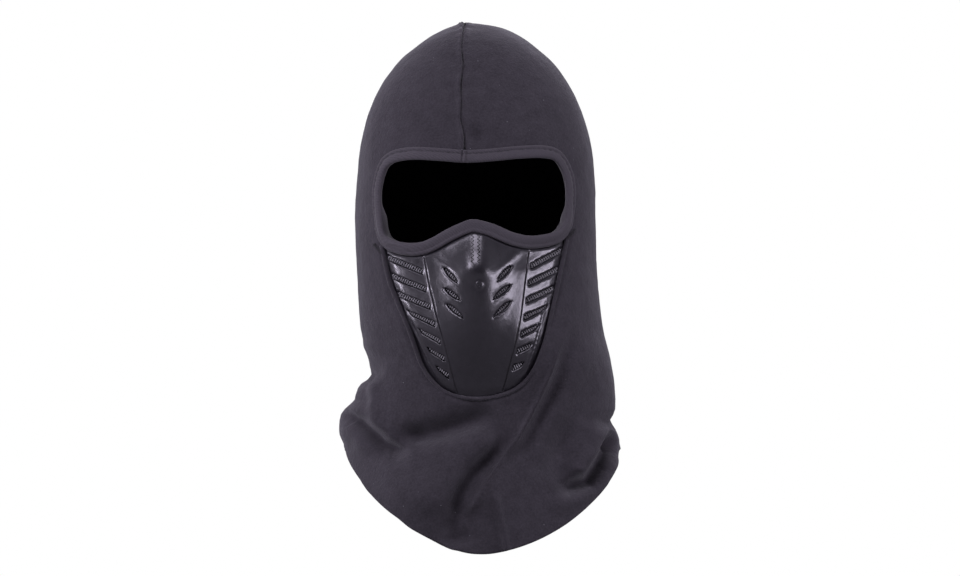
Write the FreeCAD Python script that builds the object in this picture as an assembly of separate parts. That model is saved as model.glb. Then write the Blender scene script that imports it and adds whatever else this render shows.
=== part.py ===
import FreeCAD, Part
import math
import os

# Fleece balaclava with a moulded vented mask, in millimetres.
# +Z is up, -Y is the front, +X is the wearer's left (right in a front view).
# The origin is where the top of the head meets the inside of the crown.

V = FreeCAD.Vector

# ---------------------------------------------------------------- driving dimensions
FLEECE = 2.0            # thickness of the fleece
GAP = 0.3               # air between sewn layers
SIDE_Y = -5.0           # depth at which the hood is widest
ROUNDNESS = 2.3         # exponent of the level sections, 2 is an ellipse

# Level sections of the hood's outside: height, left, right, front, back.
SECTIONS = [
    (2, -9, -9, 8, 8),
    (-1, -20.5, 13, -10, 26),
    (-7, -33, 28, -28, 44),
    (-17, -47, 42.8, -45, 61),
    (-33, -63.3, 59.5, -62, 78),
    (-57, -78.2, 74.5, -79, 94),
    (-85, -86.5, 84, -91, 103),
    (-115, -90, 87.5, -97, 107),
    (-150, -91.5, 88.5, -99, 104),
    (-190, -89.5, 89.7, -99, 93),
    (-225, -86.8, 93.5, -98, 82),
    (-252, -82, 99.5, -93, 77),
    (-278, -92, 103, -87, 78),
    (-305, -104.5, 103.5, -88, 83),
    (-330, -106, 106.5, -93, 90),
    (-365, -105, 106.5, -99, 97),
    (-400, -104, 106, -104, 101),
]
NECK = 12               # the section from which the skirt runs down to the hem
CROWN_LEVEL = 0.15      # where the crown closes, in sections from the top
CROWN_SECTIONS = 5.0    # sections over which the widest depth settles to SIDE_Y
SKIRT_ROWS = 4          # as many sections' worth of surface between NECK and the hem
ROW_STEP = 0.36         # sections between two rows of surface poles
AROUND = 60             # surface poles round the hood

# Nose and chin stand out of the plain sections.
FACE_X = -1.0
NOSE_HEIGHT = 19.0
NOSE_WIDTH = 25.0
NOSE_Z = -190.0
NOSE_RISE = 27.0        # reach of the nose above its tip
NOSE_FALL = 42.0        # and below it
CHIN_HEIGHT = 6.0
CHIN_WIDTH = 42.0
CHIN_Z = -240.0
CHIN_RISE = 30.0

# The hem is level at the sides and hangs lower in front and at the back.
HEM_SIDE_Z = -316.0
HEM_FRONT_DROP = 79.5
HEM_BACK_DROP = 36.0
HEM_POWERS = (1.43, 1.43)
HEM_FRONT_RIGHT_POWERS = (1.7, 1.75)    # it hangs fuller in front on the right

# Eye opening, as a closed curve through these (x, z) points.
EYE = [
    (-58.5, -103), (-47, -101.9), (-28, -102.9), (-10, -104.2), (8, -103.4), (26, -101.6),
    (40, -100.7), (51, -100.9), (57.5, -102.8), (62.2, -108.5), (65.8, -118), (66.8, -130),
    (66, -145), (63.5, -151), (59.5, -155), (51, -157.9), (39, -159.2), (27, -157),
    (12.8, -151), (3, -148), (-3, -147), (-9, -148.1), (-22.5, -154), (-34, -160.6),
    (-42, -163.8), (-51, -164.6), (-61, -163), (-68, -159.8), (-71.2, -154), (-72.8, -142),
    (-73.5, -130), (-72.6, -120), (-69.5, -110), (-65.5, -105.6),
]
BINDING_WIDTH = 9.3     # measured over the curve of the hood
BINDING = 0.9           # thickness of one leaf of the strip

# Visible edge of the mask, from the left corner under the chin to the right corner.
MASK = [
    (-71.5, -166), (-66, -191.5), (-60, -207.5), (-51, -229), (-42, -254),
    (-33, -267.5), (-21, -276.2), (-3, -279.6), (14.5, -277.8), (29.5, -271.5),
    (40.5, -259.5), (48.8, -239.5), (55, -214), (61.5, -184), (66, -161),
]
MASK_MARGIN = 5.0       # width sewn behind the fleece
MASK_SHELL = 2.2
LINING = 0.8
GROOVE_WIDTH = 1.3
GROOVE_DEPTH = 0.8

# Long grooves beside the centre panel, from the nose band down.
LEFT_GROOVE = [(-40.5, -173.5), (-36.5, -195), (-30.8, -219), (-24.8, -240), (-20, -260), (-15.8, -276)]
RIGHT_GROOVE = [(38.5, -168.5), (35.2, -189), (31.5, -219), (27.5, -240), (22.8, -259), (18.8, -274.5)]

# Seven slots on each side: outer end of the first, pitch, fall towards the middle.
SLOTS = 7
SLOT_HEIGHT = 4.4
SLOT_EDGE = [0.8, 0.8, 0.8, 2.2, 5.5, 7.0, 7.5]      # from the visible edge of the mask
SLOT_TIP = [0.5, 0.8, 1.2, 4.0, 3.0, 2.5, 2.5]       # how far the lower corner is cut back
SLOT_TO_GROOVE = 3.0
LEFT_SLOTS = (-175.0, 13.75, 11.0, 0.75)
RIGHT_SLOTS = (-169.8, 14.2, 12.0, 1.5)

# Gills beside the nose: outer end and inner end of each.
GILLS = [
    ((-26.2, -182.5), (-15, -195.2)), ((-25.5, -198), (-12.8, -208)), ((-24, -209.5), (-10.5, -221.2)),
    ((25.5, -181), (14.2, -193.8)), ((24.8, -195.2), (10.9, -207.2)), ((24.8, -207.4), (11.2, -220.4)),
]
GILL_WIDTH = 3.4

# Thread.
THREAD = 0.35           # radius
STITCH = 2.4            # length of a stitch
BINDING_PITCH = 4.0
BINDING_STITCH_IN = 6.4 # from the strip's inner edge, over the curve of the hood
SEAM_PITCH = 5.0
MASK_STITCH_OUT = 1.9
CROWN_SEAM_X = -11.5
BACK_SEAM_X = -2.0
DART_COLUMNS = (-3.9, 0.4)
DART_TOP_Z = -158.5
DART_PITCH = 3.2
DART_ZIGZAGS = 8
DART_WIDTH = 2.4
BARTACKS = {
    "bartack_left": ((-77, -165), (-71.5, -171.5)),
    "bartack_right": ((66.5, -161), (72, -154)),
}
BARTACK_WIDTH = 2.6
BARTACK_THREADS = 9

SEAM_BROW_Z = -96.0
SEAM_TOP_LEVEL = 0.3    # where the seam passes over the crown, in sections from the top

# How finely the curves and faces are made.
FRONT_REACH = 200.0     # longer than anything in front of the origin
PRISM_BACK_Y = -20.0    # behind every layer of the face, in front of the back of the hood
SLAB_STEP = 5.0         # between the poles of a layer's faces
LOOP_EDGES = 4
EYE_SAMPLES = 97
MASK_SAMPLES = 25
MASK_BOX = (-82, 78, -292, -130)
BAND_TURN_Z = -134.0    # below this height the strip deepens, to wrap the mask too
BAND_TURN = 12.0
LAYERS_BEHIND = MASK_SHELL + LINING + 2 * GAP


# ---------------------------------------------------------------- shape of the hood
def smooth(t):
    """0 below 0, 1 above 1, with a soft step between."""
    t = min(max(t, 0.0), 1.0)
    return t * t * (3 - 2 * t)


def section(level):
    """Height, left, right, front and back at a level, counted in sections."""
    last = len(SECTIONS) - 1
    level = min(max(level, 0.0), last - 1e-6)
    i = int(level)
    t = level - i
    p1 = SECTIONS[i]
    p2 = SECTIONS[i + 1]
    top = SECTIONS[0]
    # above the crown the sections mirror, so that the dome is round
    mirrored = (SECTIONS[1][0],) + tuple(2 * top[k] - SECTIONS[1][k] for k in range(1, 5))
    p0 = SECTIONS[i - 1] if i else mirrored
    p3 = SECTIONS[min(i + 2, last)]
    out = []
    for a, b, c, d in zip(p0, p1, p2, p3):
        out.append(b + 0.5 * t * (c - a + t * (2 * a - 5 * b + 4 * c - d + t * (3 * (b - c) + d - a))))
    return out


def level_at(z):
    low = 0.0
    high = float(len(SECTIONS) - 1)
    for _ in range(40):
        mid = (low + high) / 2
        if section(mid)[0] > z:
            low = mid
        else:
            high = mid
    return low


def face_relief(x, z):
    """How far the nose and chin stand out in front of the plain section."""
    across = (x - FACE_X) / NOSE_WIDTH
    up = (z - NOSE_Z) / (NOSE_RISE if z > NOSE_Z else NOSE_FALL)
    nose = NOSE_HEIGHT * math.exp(-across ** 2 - up ** 2)
    across = (x - FACE_X) / CHIN_WIDTH
    up = (z - CHIN_Z) / CHIN_RISE
    return nose + CHIN_HEIGHT * math.exp(-across ** 2 - up ** 2)


def middle_y(level, front, back):
    """Depth at which a section is widest: its centre at the crown, SIDE_Y further down."""
    return SIDE_Y + ((front + back) / 2 - SIDE_Y) * (1 - smooth(level / CROWN_SECTIONS))


def hood_point(level, turn):
    """Point of the outside. turn runs round the hood: 0 is +X, a quarter turn is the back."""
    z, left, right, front, back = section(level)
    c = math.cos(turn)
    s = math.sin(turn)
    x = (left + right) / 2 + (right - left) / 2 * math.copysign(abs(c) ** (2 / ROUNDNESS), c)
    depth = abs(s) ** (2 / ROUNDNESS)
    middle = middle_y(level, front, back)
    if s > 0:
        return V(x, middle + (back - middle) * depth, z)
    return V(x, middle + (front - middle) * depth - face_relief(x, z) * depth, z)


def front_y(x, z):
    """Depth of the hood's front at (x, z)."""
    level = level_at(z)
    _, left, right, front, back = section(level)
    across = abs(x - (left + right) / 2) / ((right - left) / 2)
    depth = max(1 - across ** ROUNDNESS, 0.0) ** (1 / ROUNDNESS)
    middle = middle_y(level, front, back)
    return middle + (front - middle) * depth - face_relief(x, z) * depth


def hem_z(turn):
    c = abs(math.cos(turn)) ** (2 / ROUNDNESS)
    in_front = math.sin(turn) < 0
    drop = HEM_FRONT_DROP if in_front else HEM_BACK_DROP
    across, down = HEM_FRONT_RIGHT_POWERS if in_front and math.cos(turn) > 0 else HEM_POWERS
    return HEM_SIDE_Z - drop * max(1 - c ** across, 0.0) ** (1 / down)


def garment_point(row, turn, inwards=0.0):
    """Point of the fleece, inwards from its outside. Rows past NECK spread down to the hem."""
    def outside(r, a):
        if r <= NECK:
            return hood_point(r, a)
        neck_z = SECTIONS[NECK][0]
        z = neck_z + (hem_z(a) - neck_z) * (r - NECK) / SKIRT_ROWS
        return hood_point(level_at(z), a)

    here = outside(row, turn)
    if not inwards:
        return here
    step = 0.02
    low = min(row + step, NECK + SKIRT_ROWS)
    high = max(low - 2 * step, CROWN_LEVEL / 2)
    down = outside(low, turn) - outside(high, turn)
    round_hood = outside(row, turn + step) - outside(row, turn - step)
    inward = round_hood.cross(down)
    inward.normalize()
    return here + inward * inwards


# ---------------------------------------------------------------- surfaces and solids
def tube_face(inwards):
    """The whole fleece surface as one face, closed round the hood, with its seam at the back."""
    ends = NECK + SKIRT_ROWS
    count = int((ends - CROWN_LEVEL) / ROW_STEP)
    span = (ends - CROWN_LEVEL) / count
    steps = [0, 1 / 3] + list(range(1, count)) + [count - 1 / 3, count]
    rows = [CROWN_LEVEL + span * k for k in steps]
    turns = [math.pi / 2 + 2 * math.pi * k / AROUND for k in range(AROUND)]
    grid = [[garment_point(r, a, inwards) for r in rows] for a in turns]
    # the rim at the crown is level, so that a flat cap closes it
    for column in grid:
        column[0].z = section(CROWN_LEVEL)[0] - inwards
    # poles stand a little outside the points, so that the surface passes through them
    poles = []
    for i, column in enumerate(grid):
        before = grid[i - 1]
        after = grid[(i + 1) % AROUND]
        around = [p * (4 / 3) - (q + r) * (1 / 6) for p, q, r in zip(column, before, after)]
        poles.append(around[:2])
        for j in range(2, len(rows) - 2):
            bend = column[j] * (1 / 3) - (column[j - 1] + column[j + 1]) * (1 / 6)
            poles[-1].append(around[j] + bend)
        poles[-1] += around[-2:]
    surface = Part.BSplineSurface()
    v_knots = len(rows) - 2
    surface.buildFromPolesMultsKnots(
        poles, [1] * (AROUND + 1), [4] + [1] * (v_knots - 2) + [4],
        list(range(AROUND + 1)), list(range(v_knots)), True, False, 3, 3)
    return surface.toShape()


def rim_edges(face):
    """The closed edges of a tube face, the lower one first."""
    return sorted((e for e in face.Edges if e.Closed), key=lambda e: e.BoundBox.ZMax)


def sewn_solid(faces):
    body = Part.Compound(faces)
    body.sewShape(0.01)
    solid = Part.Solid(body.Shells[0])
    if solid.Volume < 0:
        solid.reverse()
    return solid


def fleece_tube():
    outer = tube_face(0.0)
    inner = tube_face(FLEECE)
    outer_hem, outer_crown = rim_edges(outer)
    inner_hem, inner_crown = rim_edges(inner)
    hem = Part.makeRuledSurface(outer_hem, inner_hem)
    caps = [Part.Face(Part.Wire([edge])) for edge in (outer_crown, inner_crown)]
    return sewn_solid([outer, inner] + hem.Faces + caps)


def front_normal(x, z):
    step = 0.5
    slope_x = (front_y(x + step, z) - front_y(x - step, z)) / (2 * step)
    slope_z = (front_y(x, z + step) - front_y(x, z - step)) / (2 * step)
    normal = V(slope_x, -1, slope_z)
    normal.normalize()
    return normal


def front_point(x, z, out):
    """Point in front of the fleece's outside by out, or inside it where out is negative."""
    return V(x, front_y(x, z), z) + front_normal(x, z) * out


def front_face(left, right, low, high, out):
    """Face that follows the front of the hood. out is a distance, or a function of (x, z)."""
    across = int((right - left) / SLAB_STEP) + 1
    up = int((high - low) / SLAB_STEP) + 1
    poles = []
    for i in range(across + 1):
        x = left + (right - left) * i / across
        column = []
        for j in range(up + 1):
            z = low + (high - low) * j / up
            column.append(front_point(x, z, out(x, z) if callable(out) else out))
        poles.append(column)
    surface = Part.BSplineSurface()
    surface.buildFromPolesMultsKnots(
        poles, [4] + [1] * (across - 3) + [4], [4] + [1] * (up - 3) + [4],
        list(range(across - 1)), list(range(up - 1)), False, False, 3, 3)
    return surface.toShape()


def slab(box, back, front):
    """Closed layer between two distances from the fleece's outside, over box in x and z."""
    faces = [front_face(*box, back), front_face(*box, front)]
    sides = []
    for a, b in zip(faces[0].Edges, faces[1].Edges):
        sides += Part.makeRuledSurface(a, b).Faces
    return sewn_solid(faces + sides)


def spline(points, closed=False):
    curve = Part.BSplineCurve()
    curve.interpolate(Points=[V(x, 0, z) for x, z in points], PeriodicFlag=closed)
    return curve


def samples(curve, count):
    """Evenly spaced (position, direction) pairs along a curve, both ends included."""
    at = [curve.parameterAtDistance(curve.length() * k / (count - 1)) for k in range(count)]
    return [(curve.value(u), curve.tangent(u)[0]) for u in at]


def beside(curve, distance, count):
    """(x, z) points to the right of the way along a curve, or to its left by a negative distance."""
    return [(p.x + t.z * distance, p.z - t.x * distance) for p, t in samples(curve, count)]


def beside_over_hood(curve, width, count):
    """(x, z) points to the left of the way along a curve, by a width measured over the hood."""
    points = []
    for p, t in samples(curve, count):
        rise = (front_y(p.x - t.z * width / 2, p.z + t.x * width / 2) - front_y(p.x, p.z)) / (width / 2)
        d = width / math.sqrt(1 + rise ** 2)
        points.append((p.x - t.z * d, p.z + t.x * d))
    return points


def prism(wire):
    """Everything in front of the face, seen through wire, which lies in the XZ plane."""
    face = Part.Face(wire)
    face.translate(V(0, -FRONT_REACH, 0))
    return face.extrude(V(0, FRONT_REACH + PRISM_BACK_Y, 0))


def loop_wire(points):
    """Smooth closed wire through (x, z) points, in a few edges so that cuts by it stay sound."""
    curve = spline(points, closed=True)
    ends = [curve.LastParameter * k / LOOP_EDGES for k in range(LOOP_EDGES + 1)]
    return Part.Wire([curve.toShape(a, b) for a, b in zip(ends, ends[1:])])


def polygon_wire(points):
    corners = [V(x, 0, z) for x, z in points]
    return Part.makePolygon(corners + corners[:1])


# ---------------------------------------------------------------- outlines
def eye_loop(outwards):
    """The eye opening's edge, moved outwards. The points run clockwise, so outwards is left."""
    return beside(spline(EYE, closed=True), -outwards, EYE_SAMPLES)[:-1]


def band_loop(width):
    """The line at a width from the eye opening's edge, measured over the hood."""
    return beside_over_hood(spline(EYE, closed=True), width, EYE_SAMPLES)[:-1]


def mask_wire(outwards, top):
    """The mask's visible edge, moved outwards, closed over the eye opening by top points."""
    points = beside(spline(MASK), outwards, MASK_SAMPLES)
    edge = spline(points).toShape()
    start = edge.valueAt(edge.FirstParameter)
    end = edge.valueAt(edge.LastParameter)
    corners = [end] + [V(x, 0, z) for x, z in top] + [start]
    sides = [Part.makeLine(a, b) for a, b in zip(corners, corners[1:])]
    return Part.Wire([edge] + sides)


def mask_edge_x(z, side):
    """Where the mask's visible edge lies at a height, side -1 for left and 1 for right."""
    outline = sorted(((q, p) for p, q in MASK if p * side > 0), key=lambda pair: -pair[0])
    return between(outline, z)


def between(points, z):
    """Straight-line value at z in a falling list of (z, x)."""
    for (z1, x1), (z2, x2) in zip(points, points[1:]):
        if z2 <= z:
            return x1 + (x2 - x1) * (z - z1) / (z2 - z1)
    return points[-1][1]


# ---------------------------------------------------------------- pieces
def fleece_hood():
    """One piece of fleece, folded at the front and sewn over the crown and down the back."""
    eye_hole = prism(loop_wire(eye_loop(BINDING + GAP)))
    mask_hole = prism(mask_wire(0.0, [(64, -140), (-70, -143)]))
    return fleece_tube().cut(eye_hole.fuse(mask_hole))


def eye_binding():
    """Folded strip round the eye opening, open towards the layers it holds."""
    def behind(x, z):
        # the strip also wraps the mask and its lining where it crosses the nose
        return -(FLEECE + GAP) - LAYERS_BEHIND * smooth((BAND_TURN_Z - z) / BAND_TURN)

    box = (-86, 81, -182, -84)
    whole = slab(box, lambda x, z: behind(x, z) - BINDING, GAP + BINDING)
    pocket = slab(box, behind, GAP)
    edge = prism(loop_wire(eye_loop(0.0)))
    turn = prism(loop_wire(eye_loop(BINDING)))
    band = prism(loop_wire(band_loop(BINDING_WIDTH)))
    strip = whole.common(band).cut(edge)
    return strip.cut(pocket.cut(turn))


def mask_region(outwards):
    """Outline prism of a layer of the mask, less the eye opening."""
    top = [(56, -146), (30, -140), (-3, -136), (-36, -144), (-60, -150)]
    region = prism(mask_wire(outwards, top))
    return region.cut(prism(loop_wire(eye_loop(BINDING + GAP))))


def slot_prisms():
    """Seven slanting slots on each side, with their outer corners cut to a point lower down."""
    prisms = []
    for side, groove, slots in ((-1, LEFT_GROOVE, LEFT_SLOTS), (1, RIGHT_GROOVE, RIGHT_SLOTS)):
        first, pitch, fall, fall_step = slots
        groove_line = [(z, x) for x, z in groove]
        for i in range(SLOTS):
            outer_z = first - pitch * i
            inner_z = outer_z - fall + fall_step * i
            outer_x = mask_edge_x(outer_z, side) - side * SLOT_EDGE[i]
            inner_x = between(groove_line, inner_z) + side * SLOT_TO_GROOVE
            half = SLOT_HEIGHT / 2
            corners = [
                (inner_x, inner_z - half), (inner_x, inner_z + half),
                (outer_x, outer_z + half), (outer_x - side * SLOT_TIP[i], outer_z - half),
            ]
            prisms.append(prism(polygon_wire(corners)))
    return prisms


def gill_prisms():
    prisms = []
    for (x1, z1), (x2, z2) in GILLS:
        a = V(x1, 0, z1)
        b = V(x2, 0, z2)
        across = (b - a).cross(V(0, 1, 0))
        across.normalize()
        mid = (a + b) * 0.5
        arcs = [
            Part.Arc(a, mid + across * (GILL_WIDTH / 2), b).toShape(),
            Part.Arc(b, mid - across * (GILL_WIDTH / 2), a).toShape(),
        ]
        prisms.append(prism(Part.Wire(arcs)))
    return prisms


def groove_prism(points):
    line = spline(points)
    left = beside(line, GROOVE_WIDTH / 2, 12)
    right = beside(line, -GROOVE_WIDTH / 2, 12)
    return prism(polygon_wire(left + right[::-1]))


def mask_shell():
    """Moulded one-piece shell, sewn behind the fleece by its margin."""
    face = -(FLEECE + GAP)
    shell = slab(MASK_BOX, face - MASK_SHELL, face).common(mask_region(MASK_MARGIN))
    shell = shell.cut(slot_prisms() + gill_prisms())
    skin = slab(MASK_BOX, face - GROOVE_DEPTH, 0.0)
    grooves = [skin.common(groove_prism(points)) for points in (LEFT_GROOVE, RIGHT_GROOVE)]
    return shell.cut(grooves)


def mesh_lining():
    """Knitted sheet behind the whole mask."""
    face = -(FLEECE + MASK_SHELL + 2 * GAP)
    return slab(MASK_BOX, face - LINING, face).common(mask_region(MASK_MARGIN - 1))


# ---------------------------------------------------------------- thread
def stitch(start, end):
    way = end - start
    return Part.makeCylinder(THREAD, way.Length, start, way)


def stitches_on_front(curve, pitch, out):
    """A row of separate stitches along an (x, z) curve, lying out from the fleece's outside."""
    count = int(curve.length() / pitch)
    places = samples(curve, count + 1)
    made = []
    for p, t in places[:-1]:
        a = front_point(p.x - t.x * STITCH / 2, p.z - t.z * STITCH / 2, out)
        b = front_point(p.x + t.x * STITCH / 2, p.z + t.z * STITCH / 2, out)
        made.append(stitch(a, b))
    return Part.Compound(made)


def eye_binding_thread():
    curve = spline(band_loop(BINDING_STITCH_IN), closed=True)
    return stitches_on_front(curve, BINDING_PITCH, GAP + BINDING + THREAD / 2)


def mask_seam_thread():
    points = beside(spline(MASK), MASK_STITCH_OUT, MASK_SAMPLES)
    return stitches_on_front(spline(points[2:-2]), SEAM_PITCH, THREAD / 2)


def crown_seam_thread():
    """From the brow over the crown and down the back to the hem."""
    path = []
    front_start = level_at(SEAM_BROW_Z)
    rows = 60
    for k in range(rows + 1):
        level = front_start + (SEAM_TOP_LEVEL - front_start) * k / rows
        path.append(seam_point(level, -1, CROWN_SEAM_X))
    end = NECK + SKIRT_ROWS - 0.05
    for k in range(rows + 1):
        level = SEAM_TOP_LEVEL + (end - SEAM_TOP_LEVEL) * k / rows
        x = CROWN_SEAM_X + (BACK_SEAM_X - CROWN_SEAM_X) * smooth(k / rows)
        path.append(seam_point(level, 1, x))
    curve = Part.BSplineCurve()
    curve.interpolate(Points=path)
    places = samples(curve, int(curve.length() / SEAM_PITCH) + 1)
    made = []
    for p, t in places[1:-1]:
        made.append(stitch(p - t * (STITCH / 2), p + t * (STITCH / 2)))
    return Part.Compound(made)


def seam_point(row, side, x):
    """Point just outside the fleece at a row, in front (side -1) or behind, near x."""
    level = min(row, NECK)
    _, left, right, _, _ = section(level)
    across = (x - (left + right) / 2) / ((right - left) / 2)
    across = min(max(across, -0.95), 0.95)
    c = math.copysign(abs(across) ** (ROUNDNESS / 2), across)
    return garment_point(row, side * math.acos(c), -THREAD / 2)


def nose_dart_thread():
    """Two zigzag columns down the bridge of the nose."""
    out = THREAD / 2 - FLEECE - GAP
    made = []
    for column in DART_COLUMNS:
        for i in range(2 * DART_ZIGZAGS):
            # each run stops short of the turn, so that the runs stay separate solids
            side = DART_WIDTH / 2 * (1 if i % 2 else -1)
            z = DART_TOP_Z - DART_PITCH / 2 * i
            a = (column - side * 0.8, z - DART_PITCH * 0.1)
            b = (column + side * 0.8, z - DART_PITCH * 0.4)
            made.append(stitch(front_point(*a, out), front_point(*b, out)))
    return Part.Compound(made)


def bartack(start, end):
    """Short dense bar of threads from start to end, both (x, z)."""
    a = V(start[0], 0, start[1])
    b = V(end[0], 0, end[1])
    across = (b - a).cross(V(0, 1, 0))
    across.normalize()
    made = []
    for k in range(BARTACK_THREADS):
        p = a + (b - a) * (k / (BARTACK_THREADS - 1))
        ends = [p + across * (side * BARTACK_WIDTH / 2) for side in (-1, 1)]
        made.append(stitch(*[front_point(q.x, q.z, GAP + BINDING + THREAD / 2) for q in ends]))
    return Part.Compound(made)


# ---------------------------------------------------------------- write the parts
def main():
    os.makedirs("parts", exist_ok=True)
    nodes = {
        "fleece_hood": fleece_hood(),
        "eye_binding": eye_binding(),
        "eye_binding_thread": eye_binding_thread(),
        "crown_seam_thread": crown_seam_thread(),
        "mask_shell": mask_shell(),
        "mesh_lining": mesh_lining(),
        "mask_seam_thread": mask_seam_thread(),
        "nose_dart_thread": nose_dart_thread(),
    }
    for name, (start, end) in BARTACKS.items():
        nodes[name] = bartack(start, end)
    for name, shape in nodes.items():
        shape.exportStep(os.path.join("parts", name + ".step"))
        print(name, shape.isValid(), len(shape.Solids), "solids", round(shape.Volume, 1), "mm3")


main()
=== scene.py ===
import math

import bpy
import numpy as np
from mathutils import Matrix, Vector
from mathutils.geometry import delaunay_2d_cdt


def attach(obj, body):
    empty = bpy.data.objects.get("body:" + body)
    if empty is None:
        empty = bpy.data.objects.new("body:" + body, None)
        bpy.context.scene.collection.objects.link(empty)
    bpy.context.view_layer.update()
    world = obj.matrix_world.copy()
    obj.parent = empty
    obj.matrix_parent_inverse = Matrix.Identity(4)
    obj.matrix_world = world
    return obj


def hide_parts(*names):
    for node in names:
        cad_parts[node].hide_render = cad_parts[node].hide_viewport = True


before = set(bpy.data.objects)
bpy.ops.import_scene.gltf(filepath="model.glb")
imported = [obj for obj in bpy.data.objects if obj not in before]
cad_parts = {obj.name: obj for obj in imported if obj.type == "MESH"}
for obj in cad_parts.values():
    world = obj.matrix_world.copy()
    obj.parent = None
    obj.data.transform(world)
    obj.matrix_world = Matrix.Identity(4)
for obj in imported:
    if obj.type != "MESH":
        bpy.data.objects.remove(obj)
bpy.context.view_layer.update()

# Shapes are worked out in millimetres and written to the meshes in metres.
# +Z is up, -Y is the front, +X is to the right in a front view.
MM = 0.001
scene = bpy.context.scene

# ---------------------------------------------------------------- shape of the hood
FLEECE = 2.0
SIDE_Y = -5.0             # of the widest places below the crown
ROUNDNESS = 2.3           # power of the level sections: 2 is an ellipse, more is squarer
# Level sections of the outside from the crown down: height, left, right, front, back.
SECTIONS = np.array([
    (2, -9, -9, 8, 8),
    (-1, -20.5, 13, -10, 26),
    (-7, -33, 28, -28, 44),
    (-17, -47, 42.8, -45, 61),
    (-33, -63.3, 59.5, -62, 78),
    (-57, -78.2, 74.5, -79, 94),
    (-85, -86.5, 84, -91, 103),
    (-115, -90, 87.5, -97, 107),
    (-150, -91.5, 88.5, -99, 104),
    (-190, -89.5, 89.7, -99, 93),
    (-225, -86.8, 93.5, -98, 82),
    (-252, -82, 99.5, -93, 77),
    (-278, -92, 103, -87, 78),
    (-305, -104.5, 103.5, -88, 83),
    (-330, -106, 106.5, -93, 90),
    (-365, -105, 106.5, -99, 97),
    (-400, -104, 106, -104, 101),
], dtype=float)
NECK = 12                 # the section below which rows spread down to the hem
CROWN_SECTIONS = 5.0      # sections over which the widest places move to SIDE_Y
FACE_X = -1.0
NOSE_HEIGHT, NOSE_WIDTH, NOSE_Z, NOSE_RISE, NOSE_FALL = 19.0, 25.0, -190.0, 27.0, 42.0
CHIN_HEIGHT, CHIN_WIDTH, CHIN_Z, CHIN_RISE = 6.0, 42.0, -240.0, 30.0
HEM_SIDE_Z, HEM_FRONT_DROP, HEM_BACK_DROP = -316.0, 79.5, 36.0
HEM_POWERS, HEM_FRONT_RIGHT_POWERS = (1.43, 1.43), (1.7, 1.75)
HEM_ROUNDING = 0.05       # radians of turn over which the hem rounds off at the sides
HEM_STEPS, HEM_REACH = 2880, 90       # steps round the hem, and steps to each side that the rounding takes in

EYE = [
    (-58.5, -103), (-47, -101.9), (-28, -102.9), (-10, -104.2), (8, -103.4), (26, -101.6),
    (40, -100.7), (51, -100.9), (57.5, -102.8), (62.2, -108.5), (65.8, -118), (66.8, -130),
    (66, -145), (63.5, -151), (59.5, -155), (51, -157.9), (39, -159.2), (27, -157),
    (12.8, -151), (3, -148), (-3, -147), (-9, -148.1), (-22.5, -154), (-34, -160.6),
    (-42, -163.8), (-51, -164.6), (-61, -163), (-68, -159.8), (-71.2, -154), (-72.8, -142),
    (-73.5, -130), (-72.6, -120), (-69.5, -110), (-65.5, -105.6),
]
MASK = [
    (-71.5, -166), (-66, -191.5), (-60, -207.5), (-51, -229), (-42, -254),
    (-33, -267.5), (-21, -276.2), (-3, -279.6), (14.5, -277.8), (29.5, -271.5),
    (40.5, -259.5), (48.8, -239.5), (55, -214), (61.5, -184), (66, -161),
]
CROWN_SEAM_X = -11.5
BACK_SEAM_X = -2.0
SEAM_END_Z = -104         # the crown seam ends here, under the eye binding
SEAM_DEPTH, BROW_HOLLOW = 2.2, 4.4


def smooth(t):
    """An even step from 0 to 1 while t goes from 0 to 1."""
    t = np.clip(t, 0.0, 1.0)
    return t * t * (3 - 2 * t)


def bell(distance, reach):
    """1 at no distance, falling off smoothly past the reach."""
    return np.exp(-(distance / reach) ** 2)


def unit(vectors):
    """Vectors with their lengths made 1."""
    return vectors / np.maximum(np.linalg.norm(vectors, axis=-1, keepdims=True), 1e-9)


def lengths_along(points):
    """Length of the way to each point of a line."""
    return np.concatenate([[0], np.cumsum(np.linalg.norm(np.diff(points, axis=0), axis=1))])


def rounds(count):
    """Angles that share out a full turn."""
    return 2 * math.pi * np.arange(count) / count


def curve(a, b, c, d, t):
    """The smooth curve from b to c, with a before them and d after them."""
    return b + 0.5 * t * (c - a + t * (2 * a - 5 * b + 4 * c - d + t * (3 * (b - c) + d - a)))


BEYOND_CROWN = np.concatenate([[SECTIONS[1][0]], 2 * SECTIONS[0][1:] - SECTIONS[1][1:]])
PADDED = np.vstack([BEYOND_CROWN, SECTIONS, SECTIONS[-1]])
LAST = len(SECTIONS) - 1
LAST_LEVEL = LAST - 1e-6


def section(level):
    """Columns of height, left, right, front and back at the levels given."""
    level = np.clip(np.asarray(level, float), 0, LAST_LEVEL)
    i = level.astype(int)
    t = (level - i)[..., None]
    return curve(PADDED[i], PADDED[i + 1], PADDED[i + 2], PADDED[i + 3], t)


LEVELS = np.linspace(0, LAST_LEVEL, 4000)
LEVEL_HEIGHTS = section(LEVELS)[:, 0]


def level_at(z):
    """Level of the sections at a height."""
    return np.interp(-np.asarray(z, float), -LEVEL_HEIGHTS, LEVELS)


def face_relief(x, z):
    """How far the nose and the chin stand forward."""
    up = (z - NOSE_Z) / np.where(z > NOSE_Z, NOSE_RISE, NOSE_FALL)
    nose = NOSE_HEIGHT * bell(x - FACE_X, NOSE_WIDTH) * bell(up, 1)
    return nose + CHIN_HEIGHT * bell(x - FACE_X, CHIN_WIDTH) * bell(z - CHIN_Z, CHIN_RISE)


def middle_y(level, front, back):
    """y of a section's widest place, which moves to SIDE_Y below the crown."""
    return SIDE_Y + ((front + back) / 2 - SIDE_Y) * (1 - smooth(level / CROWN_SECTIONS))


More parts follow.
